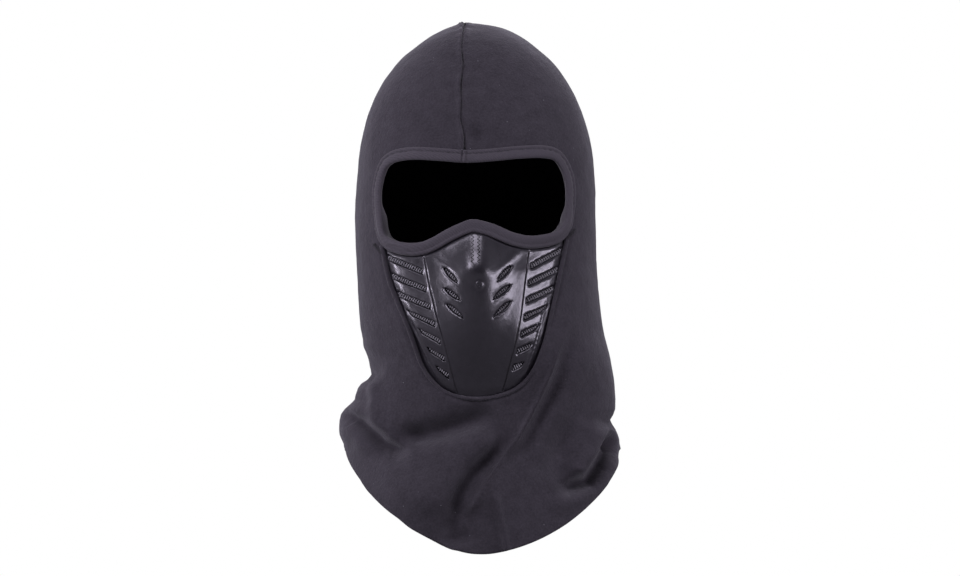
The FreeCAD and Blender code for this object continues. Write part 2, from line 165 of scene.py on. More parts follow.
def hood_point(level, turn):
    """Points of the outside. turn is 0 at +X and a quarter turn at the back."""
    s = section(level)
    z, left, right, front, back = (s[..., k] for k in range(5))
    c, sn = np.cos(turn), np.sin(turn)
    x = (left + right) / 2 + (right - left) / 2 * np.sign(c) * np.abs(c) ** (2 / ROUNDNESS)
    depth = np.abs(sn) ** (2 / ROUNDNESS)
    middle = middle_y(np.asarray(level), front, back)
    rear = middle + (back - middle) * depth
    fore = middle + (front - middle) * depth - face_relief(x, z) * depth
    return np.stack([x, np.where(sn > 0, rear, fore), z], axis=-1)


def front_y(x, z):
    """y of the fleece's smooth outside in front."""
    x, z = np.asarray(x, float), np.asarray(z, float)
    level = level_at(z)
    s = section(level)
    left, right, front, back = (s[..., k] for k in range(1, 5))
    across = np.abs(x - (left + right) / 2) / ((right - left) / 2)
    depth = np.maximum(1 - across ** ROUNDNESS, 0.0) ** (1 / ROUNDNESS)
    middle = middle_y(level, front, back)
    return middle + (front - middle) * depth - face_relief(x, z) * depth


def front_normal(x, z, step=0.5):
    slope_x = (front_y(x + step, z) - front_y(x - step, z)) / (2 * step)
    slope_z = (front_y(x, z + step) - front_y(x, z - step)) / (2 * step)
    return unit(np.stack([slope_x, -np.ones_like(slope_x), slope_z], axis=-1))


def front_point(x, z, out=0.0):
    """Points in front of the fleece's smooth outside by out."""
    p = np.stack([x, front_y(x, z), z], axis=-1)
    return p + front_normal(x, z) * np.asarray(out)[..., None]


def plain_hem_z(turn):
    """Height of the hem with its front and back halves just joined."""
    c = np.abs(np.cos(turn)) ** (2 / ROUNDNESS)
    in_front = np.sin(turn) < 0
    drop = np.where(in_front, HEM_FRONT_DROP, HEM_BACK_DROP)
    fuller = in_front & (np.cos(turn) > 0)
    across = np.where(fuller, HEM_FRONT_RIGHT_POWERS[0], HEM_POWERS[0])
    down = np.where(fuller, HEM_FRONT_RIGHT_POWERS[1], HEM_POWERS[1])
    return HEM_SIDE_Z - drop * np.maximum(1 - c ** across, 0.0) ** (1 / down)


HEM_TURNS = np.linspace(-math.pi, math.pi, HEM_STEPS + 1)


def rounded_hem():
    """The plain hem's heights averaged round each turn of HEM_TURNS."""
    plain = plain_hem_z(HEM_TURNS)
    wrapped = np.concatenate([plain[-HEM_REACH - 1:-1], plain, plain[1:HEM_REACH + 1]])
    away = np.arange(-HEM_REACH, HEM_REACH + 1) * (HEM_TURNS[1] - HEM_TURNS[0])
    kernel = bell(away, HEM_ROUNDING)
    return np.convolve(wrapped, kernel / kernel.sum(), "valid")


HEM_HEIGHTS = rounded_hem()


def hem_z(turn):
    """Height of the hem, rounded off where its front and back halves meet."""
    return np.interp((np.asarray(turn) + math.pi) % (2 * math.pi) - math.pi, HEM_TURNS, HEM_HEIGHTS)


# ---------------------------------------------------------------- curves in the front view
def resample(points, spacing, closed=False):
    """Evenly spaced (x, z) points along a smooth curve through points."""
    p = np.array(points, float)
    n = len(p)
    if closed:
        p = np.vstack([p[-1], p, p[0], p[1]])
    else:
        p = np.vstack([2 * p[0] - p[1], p, 2 * p[-1] - p[-2]])
        n -= 1
    out = []
    t = np.linspace(0, 1, 24, endpoint=False)[:, None]
    for i in range(n):
        a, b, c, d = p[i:i + 4]
        out.append(curve(a, b, c, d, t))
    q = np.vstack(out + [p[-2][None]])
    lengths = lengths_along(q)
    count = max(int(round(lengths[-1] / spacing)), 2)
    at = np.linspace(0, lengths[-1], count + 1)
    r = np.stack([np.interp(at, lengths, q[:, k]) for k in (0, 1)], axis=1)
    return r[:-1] if closed else r


def directions(points, closed=False):
    """Unit directions along a curve of (x, z) points."""
    if closed:
        d = np.roll(points, -1, axis=0) - np.roll(points, 1, axis=0)
    else:
        d = np.gradient(points, axis=0)
    return unit(d)


def left_of(points, closed=False):
    """Unit directions to the left of the way along a curve, seen from the front."""
    d = directions(points, closed)
    return np.stack([-d[:, 1], d[:, 0]], axis=1)


def near_line(x, z, line):
    """(distance, side, share) from each (x, z) to a polyline. side is +1 to the left of the way."""
    p = np.stack([x, z], axis=-1)
    line = np.asarray(line, float)
    start = lengths_along(line)
    best = np.full(len(p), np.inf)
    side = np.zeros(len(p))
    share = np.zeros(len(p))
    for i, (a, b) in enumerate(zip(line, line[1:])):
        ab = b - a
        t = np.clip(((p - a) @ ab) / (ab @ ab), 0, 1)
        q = a + t[:, None] * ab
        d = np.linalg.norm(p - q, axis=1)
        closer = d < best
        best = np.where(closer, d, best)
        cross = ab[0] * (p[:, 1] - a[1]) - ab[1] * (p[:, 0] - a[0])
        side = np.where(closer, np.sign(cross), side)
        share = np.where(closer, (start[i] + t * (start[i + 1] - start[i])) / start[-1], share)
    return best, side, share


def inside(x, z, loop):
    """Whether each (x, z) lies in a closed polygon."""
    result = np.zeros(x.shape, bool)
    a = np.asarray(loop, float)
    b = np.roll(a, -1, axis=0)
    for (x1, z1), (x2, z2) in zip(a, b):
        crosses = (z1 > z) != (z2 > z)
        if z1 != z2:
            at = x1 + (z - z1) * (x2 - x1) / (z2 - z1)
            result ^= crosses & (x < at)
    return result


EYE_EDGE = resample(EYE, 1.0, closed=True)
MASK_EDGE = resample(MASK, 1.0)
EYE_OUTWARD = left_of(EYE_EDGE, closed=True)
FLEECE_EYE_CUT = EYE_EDGE + EYE_OUTWARD * 3.0      # the fleece ends here, under the binding
MASK_EYE_CUT = EYE_EDGE + EYE_OUTWARD * 2.4        # and the mask and its lining here
MASK_HOLE = np.vstack([MASK_EDGE, [(64, -140), (-70, -143)]])


# ---------------------------------------------------------------- meshes
def mesh_object(name, verts, faces):
    """Object from vertices in millimetres and faces of three or four corners."""
    mesh = bpy.data.meshes.new(name)
    faces = faces if isinstance(faces, list) else faces.tolist()
    used = sorted({v for face in faces for v in face})
    place = {v: i for i, v in enumerate(used)}
    verts = np.asarray(verts, float)[used] * MM
    mesh.from_pydata(verts.tolist(), [], [[place[v] for v in face] for face in faces])
    mesh.validate()
    mesh.polygons.foreach_set("use_smooth", [True] * len(mesh.polygons))
    mesh.update()
    obj = bpy.data.objects.new(name, mesh)
    scene.collection.objects.link(obj)
    return obj


def strip_quads(rows, columns, closed_rows=False, closed_columns=False):
    """Quads of a grid of vertices laid out row by row."""
    r = np.arange(rows if closed_rows else rows - 1)
    c = np.arange(columns if closed_columns else columns - 1)
    rr, cc = np.meshgrid(r, c, indexing="ij")
    r2, c2 = (rr + 1) % rows, (cc + 1) % columns
    quads = np.stack([rr * columns + cc, rr * columns + c2, r2 * columns + c2, r2 * columns + cc], axis=-1)
    return quads.reshape(-1, 4)


def vertex_normals(verts, faces):
    """Area-weighted vertex normals of quads or triangles."""
    faces = np.asarray(faces)
    a, b = verts[faces[:, 2]] - verts[faces[:, 0]], verts[faces[:, -1]] - verts[faces[:, 1]]
    if faces.shape[1] == 3:
        a, b = verts[faces[:, 1]] - verts[faces[:, 0]], verts[faces[:, 2]] - verts[faces[:, 0]]
    face_n = np.cross(a, b)
    n = np.zeros_like(verts)
    for k in range(faces.shape[1]):
        np.add.at(n, faces[:, k], face_n)
    return unit(n)


def boundary_edges(faces):
    """Directed edges that only one face uses. A face may repeat its last corner."""
    faces = np.asarray(faces)
    count = faces.shape[1]
    edges = np.vstack([faces[:, [k, (k + 1) % count]] for k in range(count)])
    edges = edges[edges[:, 0] != edges[:, 1]]
    keys = edges.min(axis=1).astype(np.int64) * (faces.max() + 1) + edges.max(axis=1)
    _, first, counts = np.unique(keys, return_index=True, return_counts=True)
    return edges[first[counts == 1]]


def thicken(verts, faces, thickness):
    """Closed layer: the given skin, its copy thickness inside it, and walls along open edges."""
    n = len(verts)
    inner = verts - vertex_normals(verts, faces) * thickness
    walls = [[b, a, a + n, b + n] for a, b in boundary_edges(faces).tolist()]
    return np.vstack([verts, inner]), faces.tolist() + (faces[:, ::-1] + n).tolist() + walls


def merged(parts):
    """One vertex array and face list from several."""
    verts, faces, base = [], [], 0
    for part_verts, part_faces in parts:
        verts.append(np.asarray(part_verts, float))
        faces += [[int(v) + base for v in f] for f in part_faces]
        base += len(part_verts)
    return np.vstack(verts), faces


def tubes(paths, fronts, radius, sides=8, ends=0.55):
    """Closed tubes along paths (tubes, points, 3), thinner at their ends. fronts point out of the surface."""
    paths = np.asarray(paths, float)
    m, k, _ = paths.shape
    way = unit(np.gradient(paths, axis=1))
    across = unit(np.cross(way, fronts))
    up = np.cross(across, way)
    angle = rounds(sides)
    size = np.full((k, 1, 1), radius)
    size[[0, -1]] *= ends
    rings = paths[:, :, None] + size * (np.cos(angle)[:, None] * across[:, :, None]
                                        + np.sin(angle)[:, None] * up[:, :, None])
    verts = rings.reshape(-1, 3)
    quads = strip_quads(k, sides, closed_columns=True)
    faces = (quads[None] + (np.arange(m) * k * sides)[:, None, None]).reshape(-1, 4).tolist()
    for i in range(m):
        base = i * k * sides
        faces.append([base + j for j in range(sides)])
        faces.append([base + (k - 1) * sides + j for j in range(sides - 1, -1, -1)])
    return verts, faces


LATTICE = 32              # points along each side of the noise, which repeats beyond them


def wobble(p, size, seed):
    """Smooth noise from -1 to 1 at points p, with features about size across."""
    lattice = np.random.default_rng(seed).uniform(-1, 1, (LATTICE, LATTICE, LATTICE))
    q = p / size + 100        # so far along that no place is negative
    i = np.floor(q).astype(int)
    f = q - i
    f = f * f * (3 - 2 * f)
    total = np.zeros(q.shape[:-1])
    for dx in (0, 1):
        for dy in (0, 1):
            for dz in (0, 1):
                share = np.ones_like(total)
                for axis, d in enumerate((dx, dy, dz)):
                    share = share * (f[..., axis] if d else 1 - f[..., axis])
                at = (i + (dx, dy, dz)) % LATTICE
                total += share * lattice[at[..., 0], at[..., 1], at[..., 2]]
    return total


# ---------------------------------------------------------------- fleece hood
SKIRT_ROWS = 4.0
TOP_LEVEL = 0.12
ROW_STEP_TOP, ROW_STEP_SKIRT = 1.9, 1.15
SEAM_STEPS = [0.0, 0.5, 1.0, 1.5, 2.1, 2.9, 4.0]     # from a seam, in mm at the widest level
FRONT_STEP, BACK_STEP = 1.15, 2.6
HALF_ROUND = 300.0        # from the front seam round to the back seam there
SPREAD_FROM, SPREAD_OVER = 0.4, 0.2       # shares of the half round over which the step grows
FORWARD_FOLDS = 0.5       # how squarely cloth faces the front before its folds stand forward
FORWARD_SHARE = 0.8       # and how far they then turn from the normal
APEX_ROW = 1e-4
BROW_Z = -60              # below this the front's open edges are those of the eyes and the mask
# The crown seam in front: height, x.
SEAM_LINE = [(4, -9), (0, -10.5), (-18, -12), (-32, -10.7), (-46, -12.6), (-60, -12), (-72, -12.6),
             (-85, -9.9), (-400, -9.9)]

# Folds of the skirt, as (x, z) lines from the front.
PINCH = [(80, -176), (76, -198), (68, -219), (61.5, -238), (54, -260.5), (45, -280.5), (39, -292.5),
         (31.5, -306.8), (19.5, -323.6), (8.7, -340.4), (0.4, -354.8), (-9.2, -369.2)]
PINCH_VALLEY = [(30, -303), (22, -312), (8.7, -326), (-5.6, -337), (-14.5, -352.4), (-16.4, -371.6),
                (-12.8, -392)]
PINCH_SHADE = [(72, -224), (65, -245), (59, -263), (50, -285), (42, -301), (34, -317), (26, -331),
               (17, -345)]
CHIN_VALLEY = [(-68, -304), (-57, -307.5), (-46.4, -308.5), (-27, -305), (-12.8, -300.5), (2, -294.5),
               (16, -289)]
BULGE_TOP = [(-44, -321), (-34, -317), (-20, -314), (0, -309), (16, -303)]
BULGE_EDGE = [(17, -304), (8, -313), (-3.2, -323.6), (-15, -341), (-24, -356), (-27, -374)]
LEFT_CREASE = [(-101, -279), (-95, -286), (-90, -290.7), (-84, -297), (-77, -301), (-69.5, -302.5),
               (-60, -302)]
LEFT_UNDER = [(-97, -286.5), (-91, -293.5), (-84, -300), (-77, -306.5), (-69, -313.5), (-60, -318),
              (-48, -320.5)]
LEFT_EAR = [(-79, -256), (-78.5, -268), (-78.5, -283), (-77.5, -297), (-75, -303)]
RIGHT_RIDGE = [(88, -228), (80, -250), (68, -276), (55, -298), (47, -316), (42, -330)]
FLAP = [(98.5, -297.5), (95.2, -305), (88.6, -318.5), (81.5, -333), (77, -343)]
UNDER_FLAP = [(101, -304), (96.5, -318), (90, -331), (82, -341.5), (69, -346), (56, -344)]
RIM_RIDGE = [(104, -318), (98, -334), (86, -347), (66, -357), (44, -362)]
FRONT_RIB = [(13, -348), (14.2, -355), (16.5, -368), (20.2, -383.5), (23, -398)]

# The bulges and dips of the skirt's two sides: height, shift to the right.
LEFT_SHIFT = [(-400, 0), (-371, 0.3), (-364, 1.0), (-356, 1.6), (-349, 2.2), (-341, 4.0), (-319, 5.8),
              (-315, 5.2), (-308, 1.2), (-302, -0.9), (-297, -2.7), (-292.5, -3.8), (-288.5, -2.8),
              (-285.2, -0.6), (-281.5, 1.2), (-278, 0.2), (-273, -0.6), (-269.5, 0.2), (-266.5, 3.6),
              (-262.8, 4.8), (-256, 1.4), (-250, -0.5), (-242, -2.6), (-236, -1.5), (0, 0)]
RIGHT_SHIFT = [(-400, 0), (-356, 0.6), (-345, 0.8), (-335, -0.4), (-325, 0.4), (-319, 1.6), (-315, 1.2),
               (-311.5, 1.5), (-308, 0.9), (-304, -0.4), (-300.2, -2.6), (-296.8, -4.0), (-293, -1.8),
               (-289, -0.3), (-281, 0), (0, 0)]
HEM_FULLNESS, HEM_FULL_Z = 2.6, -368.0

# How the folds stand out: line, height, reach to the left and to the right of the way, power of the fall-off,
# and the shares of the line over which its start and its end fade.
FOLDS = [
    # the sharp pinch from the right cheek down to the middle of the hem
    (PINCH, 4.6, 14, 9, 1.3, 0.3, 0.1),
    (PINCH[3:], 5.0, 2.0, 1.5, 1.0, 0.15, 0.1),
    (PINCH_VALLEY, -9.5, 9.5, 9.0, 2.0, 0.3, 0.08),
    (PINCH_SHADE, -3.8, 5.5, 4.5, 2.0, 0.25, 0.25),
    # the hollow under the chin, and the full bulge below it
    (CHIN_VALLEY, -12.5, 9.5, 7.5, 1.8, 0.3, 0.3),
    (BULGE_TOP, 2.0, 6, 20, 1.6, 0.2, 0.15),
    (BULGE_EDGE, 8.0, 6, 30, 1.4, 0.2, 0.3),
    # the roll at the left, with the flare coming out from under it
    (LEFT_CREASE, 4.5, 11, 2.6, 1.8, 0.4, 0.4),
    (LEFT_UNDER, -14.5, 4.0, 9.0, 1.8, 0.3, 0.25),
    (LEFT_EAR, 2.4, 4.5, 4.5, 2.0, 0.3, 0.3),
    # folds of the right side, and the flap that laps over the rim
    (RIGHT_RIDGE, 4.0, 9, 8, 2.0, 0.3, 0.25),
    (FLAP, 8.5, 2.0, 15, 1.3, 0.28, 0.2),
    (UNDER_FLAP, -15.0, 6.5, 5.5, 2.0, 0.15, 0.25),
    (RIM_RIDGE, 3.5, 7, 6, 2.0, 0.2, 0.3),
    (FRONT_RIB, 4.6, 2.6, 2.6, 2.0, 0.2, 0.05),
]
# Round bulges and hollows: centre (x, z), size (x, z), height.
BUMPS = [
    ((-19, -302), (15, 8), -1.5), ((-49, -308), (9, 6), -2.5),        # hollow under the chin
    ((-52, -358), (38, 30), 12.0), ((-92, -277), (9, 9), 4.0),        # bulge below it, and the left roll
    ((61, -322), (12, 20), -8.0),                                     # hollow before the flap
]
UNEVENNESS = [(34, 0.55, 1), (14, 0.28, 2), (6.0, 0.12, 3), (2.6, 0.05, 4)]     # size, height, seed
FOLDS_TOP_Z = -165
FLUTES_TOP_Z, FLUTES_GROW, FLUTE_DEPTH = -215, 120, 3.2   # soft folds down the back, deeper towards the hem
NAPE_Z, NAPE_REACH, NAPE_DEPTH = -236, 16, 1.3            # small creases across the nape
LEFT_LEAN = 3.2           # how far the side of the left roll leans back
RIM_BULGE = 0.35          # of the thickness, past an open edge
RIM_REACH = 2.5           # how near a cut line a corner of the rim has to be to move onto it


def garment_points(rows, turns):
    """Points of the fleece's outside. Rows past NECK spread down to the hem."""
    rows, turns = np.broadcast_arrays(rows, turns)
    neck_z = SECTIONS[NECK][0]
    z = neck_z + (hem_z(turns) - neck_z) * (rows - NECK) / SKIRT_ROWS
    above = hood_point(np.minimum(rows, NECK), turns)
    below = hood_point(level_at(z), turns)
    return np.where((rows <= NECK)[..., None], above, below)


def seam_x(z):
    """x of the crown seam in front."""
    return np.interp(z, *zip(*sorted(SEAM_LINE)))


def back_seam_x(row):
    """x of the seam down the back, which drifts to the middle."""
    return CROWN_SEAM_X + (BACK_SEAM_X - CROWN_SEAM_X) * smooth(row / (NECK + SKIRT_ROWS))


def turn_at_x(row, x, side):
    """The turn at which a row passes x, in front (side -1) or behind (side 1)."""
    s = section(np.minimum(row, NECK))
    left, right = s[..., 1], s[..., 2]
    across = np.clip((x - (left + right) / 2) / ((right - left) / 2), -0.95, 0.95)
    return side * np.arccos(np.sign(across) * np.abs(across) ** (ROUNDNESS / 2))


def hood_rows():
    """Rows from the crown to the hem, evenly spaced down the front."""
    fine = np.linspace(TOP_LEVEL, NECK + SKIRT_ROWS, 3000)
    line = garment_points(fine, np.full_like(fine, -math.pi / 2))
    steps = np.linalg.norm(np.diff(line, axis=0), axis=1)
    weight = np.where(fine[1:] < NECK - 1, 1 / ROW_STEP_TOP, 1 / ROW_STEP_SKIRT)
    reach = np.concatenate([[0], np.cumsum(steps * weight)])
    return np.interp(np.linspace(0, reach[-1], int(reach[-1]) + 1), reach, fine)


def half_round_shares():
    """Shares of the way from the front seam to the back seam, close together beside both."""
    at = list(SEAM_STEPS)
    while at[-1] < HALF_ROUND - SEAM_STEPS[-1]:
        share = smooth((at[-1] / HALF_ROUND - SPREAD_FROM) / SPREAD_OVER)
        at.append(at[-1] + FRONT_STEP + (BACK_STEP - FRONT_STEP) * share)
    at = [a for a in at if a < HALF_ROUND - SEAM_STEPS[-1] - 1.0]
    at += [HALF_ROUND - s for s in reversed(SEAM_STEPS)]
    return np.array(at) / HALF_ROUND


def ridge(x, z, line, height, left, right, power=2.0, fade=(0.2, 0.2)):
    """Height of a fold along a line, with its reach to the left and right of the way."""
    d, side, share = near_line(x, z, line)
    reach = np.where(side > 0, left, right)
    ends = smooth(share / fade[0]) * smooth((1 - share) / fade[1])
    return height * np.exp(-(d / reach) ** power) * ends


def bump(x, z, centre, size, height):
    """Height of a round bulge or hollow."""
    return height * bell(x - centre[0], size[0]) * bell(z - centre[1], size[1])


def front_folds(x, z):
    """How far the folds stand out on the front of the hood."""
    h = -LEFT_LEAN * smooth((-78 - x) / 6.5) * smooth((-252 - z) / 18) * smooth((z + 302) / 16)
    for line, height, left, right, power, start, end in FOLDS:
        h += ridge(x, z, line, height, left, right, power, (start, end))
    for centre, size, height in BUMPS:
        h += bump(x, z, centre, size, height)
    return h


def back_folds(p, turn):
    """Soft flutes down the back and sides, deeper towards the hem."""
    x, z = p[:, 0], p[:, 2]
    low = smooth((FLUTES_TOP_Z - z) / FLUTES_GROW)
    flutes = np.sin(turn * 7 + 1.3 * np.sin(z / 46) + 0.7) + 0.6 * np.sin(turn * 12 - z / 60)
    creases = bell(z - NAPE_Z, NAPE_REACH) * np.sin((z + 0.25 * x) / 6.5)
    return FLUTE_DEPTH * low * flutes + NAPE_DEPTH * creases


def seam_relief(p, row, turn):
    """The crown seam: a narrow groove between soft, puckered lips, and a hollow beside it at the brow."""
    z = p[:, 2]
    front = turn < 0
    on_seam = np.where(front, z > SEAM_END_Z, 1.0)
    s = p[:, 0] - np.where(front, seam_x(z), back_seam_x(row))
    pucker = 1 + 0.45 * wobble(p, 6.0, 11) + 0.25 * np.sin(z * 2 * math.pi / SEAM_PITCH)
    lips = 0.5 * bell(np.abs(s) - 2.6, 1.9) + 0.7 * bell(s + 1.9, 0.9)
    hollow = BROW_HOLLOW * front * smooth(s / 3) * bell(s - 8, 9) * bell(z + 86, 7)
    drawn = 0.8 * wobble(p * [0.25, 1, 1], 7.0, 12) * bell(s, 9)
    return on_seam * (pucker * (lips - SEAM_DEPTH * bell(s, 0.8)) - hollow + drawn)


def hood_relief(p, row, turn):
    """How far the cloth stands out of its smooth shape."""
    x, z = p[:, 0], p[:, 2]
    in_front = smooth(-np.sin(turn) * 4)
    folded = (z < FOLDS_TOP_Z) & (in_front > 0)
    h = np.zeros(len(p))
    h[folded] = front_folds(x[folded], z[folded]) * in_front[folded]
    h += back_folds(p, turn) * smooth(np.sin(turn) * 2.5)
    h += seam_relief(p, row, turn) + stitch_line(p, turn)
    for size, height, seed in UNEVENNESS:
        h += height * wobble(p, size, seed)
    return h


def nearest_on(points, line):
    """The nearest places on a line, and the distances to them."""
    distance, _, share = near_line(*points.T, line)
    lengths = lengths_along(line)
    place = [np.interp(share * lengths[-1], lengths, line[:, k]) for k in (0, 1)]
    return np.stack(place, axis=1), distance


def hood_grid():
    """Points of the outside before its holes and folds, with their rows and turns."""
    rows = hood_rows()[:, None]
    front_turn = turn_at_x(rows, seam_x(section(np.minimum(rows, NECK))[..., 0]), -1)
    back_turn = turn_at_x(rows, back_seam_x(rows), 1)
    shares = half_round_shares()
    right_half = front_turn + (back_turn - front_turn) * shares
    left_half = back_turn + (front_turn + 2 * math.pi - back_turn) * (1 - shares[::-1])
    turns = np.concatenate([right_half[:, :-1], left_half[:, :-1]], axis=1)
    turns = (turns + math.pi) % (2 * math.pi) - math.pi
    rows = np.broadcast_to(rows, turns.shape)
    return garment_points(rows, turns), rows, turns


def cut_holes(verts, faces, rows, turns):
    """The faces left round the eyes and the mask. Moves their rims onto the cut lines."""
    in_front = turns < 0
    centre = verts[faces].mean(axis=1)
    x, z = centre[:, 0], centre[:, 2]
    gone = in_front[faces].all(axis=1) & (inside(x, z, FLEECE_EYE_CUT) | inside(x, z, MASK_HOLE))
    faces = faces[~gone]
    rim = np.unique(boundary_edges(faces))
    rim = rim[in_front[rim] & (verts[rim, 2] < BROW_Z) & (rows[rim] < NECK + 3)]
    at = verts[rim][:, [0, 2]]
    on_eye, to_eye = nearest_on(at, np.vstack([FLEECE_EYE_CUT, FLEECE_EYE_CUT[:1]]))
    on_mask, to_mask = nearest_on(at, MASK_EDGE)
    close = np.minimum(to_mask, to_eye) < RIM_REACH
    x, z = np.where((to_mask < to_eye)[:, None], on_mask, on_eye)[close].T
    verts[rim[close]] = np.stack([x, front_y(x, z), z], axis=1)
    return faces


def side_shift(verts, in_front):
    """How far the skirt's sides bulge or dip, to the right."""
    x, z = verts[:, 0], verts[:, 2]
    sides = section(level_at(z))
    left, right = sides[:, 1], sides[:, 2]
    across = (x - (left + right) / 2) / np.maximum((right - left) / 2, 1)
    at_hem = smooth((-312 - z) / 14)
    shift = -HEM_FULLNESS * smooth((HEM_FULL_Z - z) / 10) * smooth((10 - x) / 20) * in_front
    for table, side, hem_from in ((LEFT_SHIFT, -1, 60), (RIGHT_SHIFT, 1, 70)):
        # above the hem only the very side moves, and at the hem more of the front with it
        share = smooth((side * across - 0.82) / 0.14)
        share += (smooth((side * x - hem_from) / 25) - share) * at_hem
        shift += np.interp(z, *zip(*table)) * share
    return shift


def fleece_hood():
    """One closed layer of fleece with its holes and folds, and its turned edge round the mask."""
    base, rows, turns = hood_grid()
    count, columns = turns.shape
    verts, rows, turns = base.reshape(-1, 3).copy(), rows.reshape(-1), turns.reshape(-1)
    faces = cut_holes(verts, strip_quads(count, columns, closed_columns=True)[:, ::-1], rows, turns)

    # one vertex closes the crown; each face of the cap repeats a corner
    apex = len(verts)
    verts = np.vstack([verts, garment_points(APEX_ROW, 0.0)])
    rows, turns = np.append(rows, APEX_ROW), np.append(turns, -0.5)
    cap = np.array([[j, j, (j + 1) % columns, apex] for j in range(columns)])
    quads = np.vstack([faces, cap])

    # folds that face the front stand forward, and those of the sides along the normal
    normals = vertex_normals(verts, quads)
    facing = smooth(np.abs(normals[:, 1:2]) / FORWARD_FOLDS) * (turns < 0)[:, None]
    way = unit(normals * (1 - FORWARD_SHARE * facing * np.array([1.0, 0.0, 1.0])))
    verts = verts + way * hood_relief(verts, rows, turns)[:, None]
    verts[:, 0] += side_shift(verts, turns < 0)

    normals = vertex_normals(verts, quads)
    inner = verts - normals * FLEECE
    n = len(verts)
    skin = faces.tolist() + cap[:, 1:].tolist()
    inside_skin_painted_shade = [[v + n for v in f[::-1]] for f in skin]
    wall = rim_wall(verts, inner, quads, normals)
    closed = (np.vstack([verts, inner, wall[0]]), skin + inside_skin_painted_shade + wall[1])
    obj = mesh_object("fleece_hood_cloth", *merged([closed, mask_roll()]))
    # the inner skin takes the second material, whose near-black colour is painted shade
    material_index = np.zeros(len(obj.data.polygons), dtype=np.int32)
    material_index[len(skin):2 * len(skin)] = 1
    obj.data.polygons.foreach_set("material_index", material_index)
    return obj


def rim_wall(outer, inner, faces, normals):
    """Rounded wall between the outer and the inner skin along every open edge."""
    rim = boundary_edges(faces)
    n = len(outer)
    away = unit(np.cross(outer[rim[:, 1]] - outer[rim[:, 0]], normals[rim[:, 0]]))
    out = np.zeros_like(outer)
    for k in (0, 1):
        np.add.at(out, rim[:, k], away)
    used = np.unique(rim)
    middle = (outer + inner) / 2 + unit(out) * RIM_BULGE * FLEECE
    place = {v: 2 * n + i for i, v in enumerate(used.tolist())}
    wall = []
    for a, b in rim.tolist():
        wall.append([b, a, place[a], place[b]])
        wall.append([place[b], place[a], a + n, b + n])
    return middle[used], wall


MASK_STITCH_OUT, SEAM_DENT = 2.4, 0.4
# Cross-section of the turned edge: outwards from the mask's edge, out of the fleece.
ROLL = [(2.0, -0.5), (1.75, 0.4), (1.25, 0.9), (0.6, 0.95), (0.0, 0.5), (-0.3, -0.5), (-0.1, -1.5),
        (0.5, -2.1), (1.4, -1.6)]


def stitch_line(verts, turns):
    """The dent along the seam beside the mask."""
    x, z = verts[:, 0], verts[:, 2]
    near = (turns < 0) & (z < -150) & (z > -295) & (np.abs(x) < 85)
    d, _, _ = near_line(x[near], z[near], MASK_EDGE)
    d = np.where(inside(x[near], z[near], MASK_HOLE), -d, d)
    dent = np.zeros(len(verts))
    dent[near] = SEAM_DENT * (bell(d - 5.5, 2.2) - bell(d - 2.5, 1.0))
    return dent


def mask_roll():
    """The turned edge of the fleece round the mask, as one closed strip."""
    line = resample(MASK, 0.9)
    # the way runs from the left corner under the chin, so outwards is to the right of it
    outward = -left_of(line)
    rings = []
    for s, h in ROLL:
        rings.append(front_point(*(line + outward * s).T, h))
    rings = np.stack(rings, axis=1)
    lump = 0.12 * wobble(rings, 3.5, 21)
    rings = rings + front_normal(*line.T)[:, None] * lump[..., None]
    count, around = rings.shape[:2]
    faces = strip_quads(count, around, closed_columns=True).tolist()
    faces.append(list(range(around))[::-1])
    faces.append(list(range((count - 1) * around, count * around)))
    return rings.reshape(-1, 3), faces


# ---------------------------------------------------------------- eye binding
BINDING_WIDTH = 9.3
BAND_TURN_Z, BAND_TURN = -134.0, 12.0
BINDING_BACK = -(FLEECE + 1.2)
LAYERS_BEHIND = 3.6       # how much further back its rear lies where mask and lining are bound in
BINDING_STITCH_IN = 6.4
BROW_EDGE_Z = -112        # the eye edge is the brow above this
JOIN_X = -10.3
# Cross-section of the strip: outwards from the eye edge, out of the fleece. The last points lie behind.
STRIP_FRONT = [(0.35, -1.6), (-0.25, -0.8), (-0.4, 0.0), (-0.15, 0.75), (0.5, 1.3), (1.5, 1.65),
               (2.8, 1.75), (4.2, 1.6), (5.2, 1.3), (5.9, 0.85), (6.4, 0.5), (6.9, 0.85), (7.6, 1.25),
               (8.4, 1.2), (9.0, 0.8), (9.3, 0.2), (9.2, -0.15), (8.6, 0.15), (4.0, 0.2), (1.3, 0.2)]
STRIP_BACK = [(1.3, 0.7), (8.4, 0.7), (8.6, 0.35), (8.2, 0.0), (4.0, -0.1), (0.9, 0.15)]


def nose_share(z):
    """1 where the binding crosses the nose, 0 round the rest of the opening."""
    return smooth((BAND_TURN_Z - z) / BAND_TURN)


def over_hood(points, outward, width):
    """Share of a width over the hood that shows in the front view, beside each point."""
    far = points + outward * width / 2
    rise = (front_y(*far.T) - front_y(*points.T)) / (width / 2)
    return 1 / np.sqrt(1 + rise ** 2)


def beside_eyes(s, edge):
    """The line at s outwards over the hood from the eye edge."""
    outward = left_of(edge, closed=True)
    return edge + outward * (s * over_hood(edge, outward, BINDING_WIDTH))[:, None]


def band_point(s, h, edge):
    """Points at s outwards over the hood from the eye edge and h out of the fleece."""
    return front_point(*beside_eyes(s, edge).T, h)


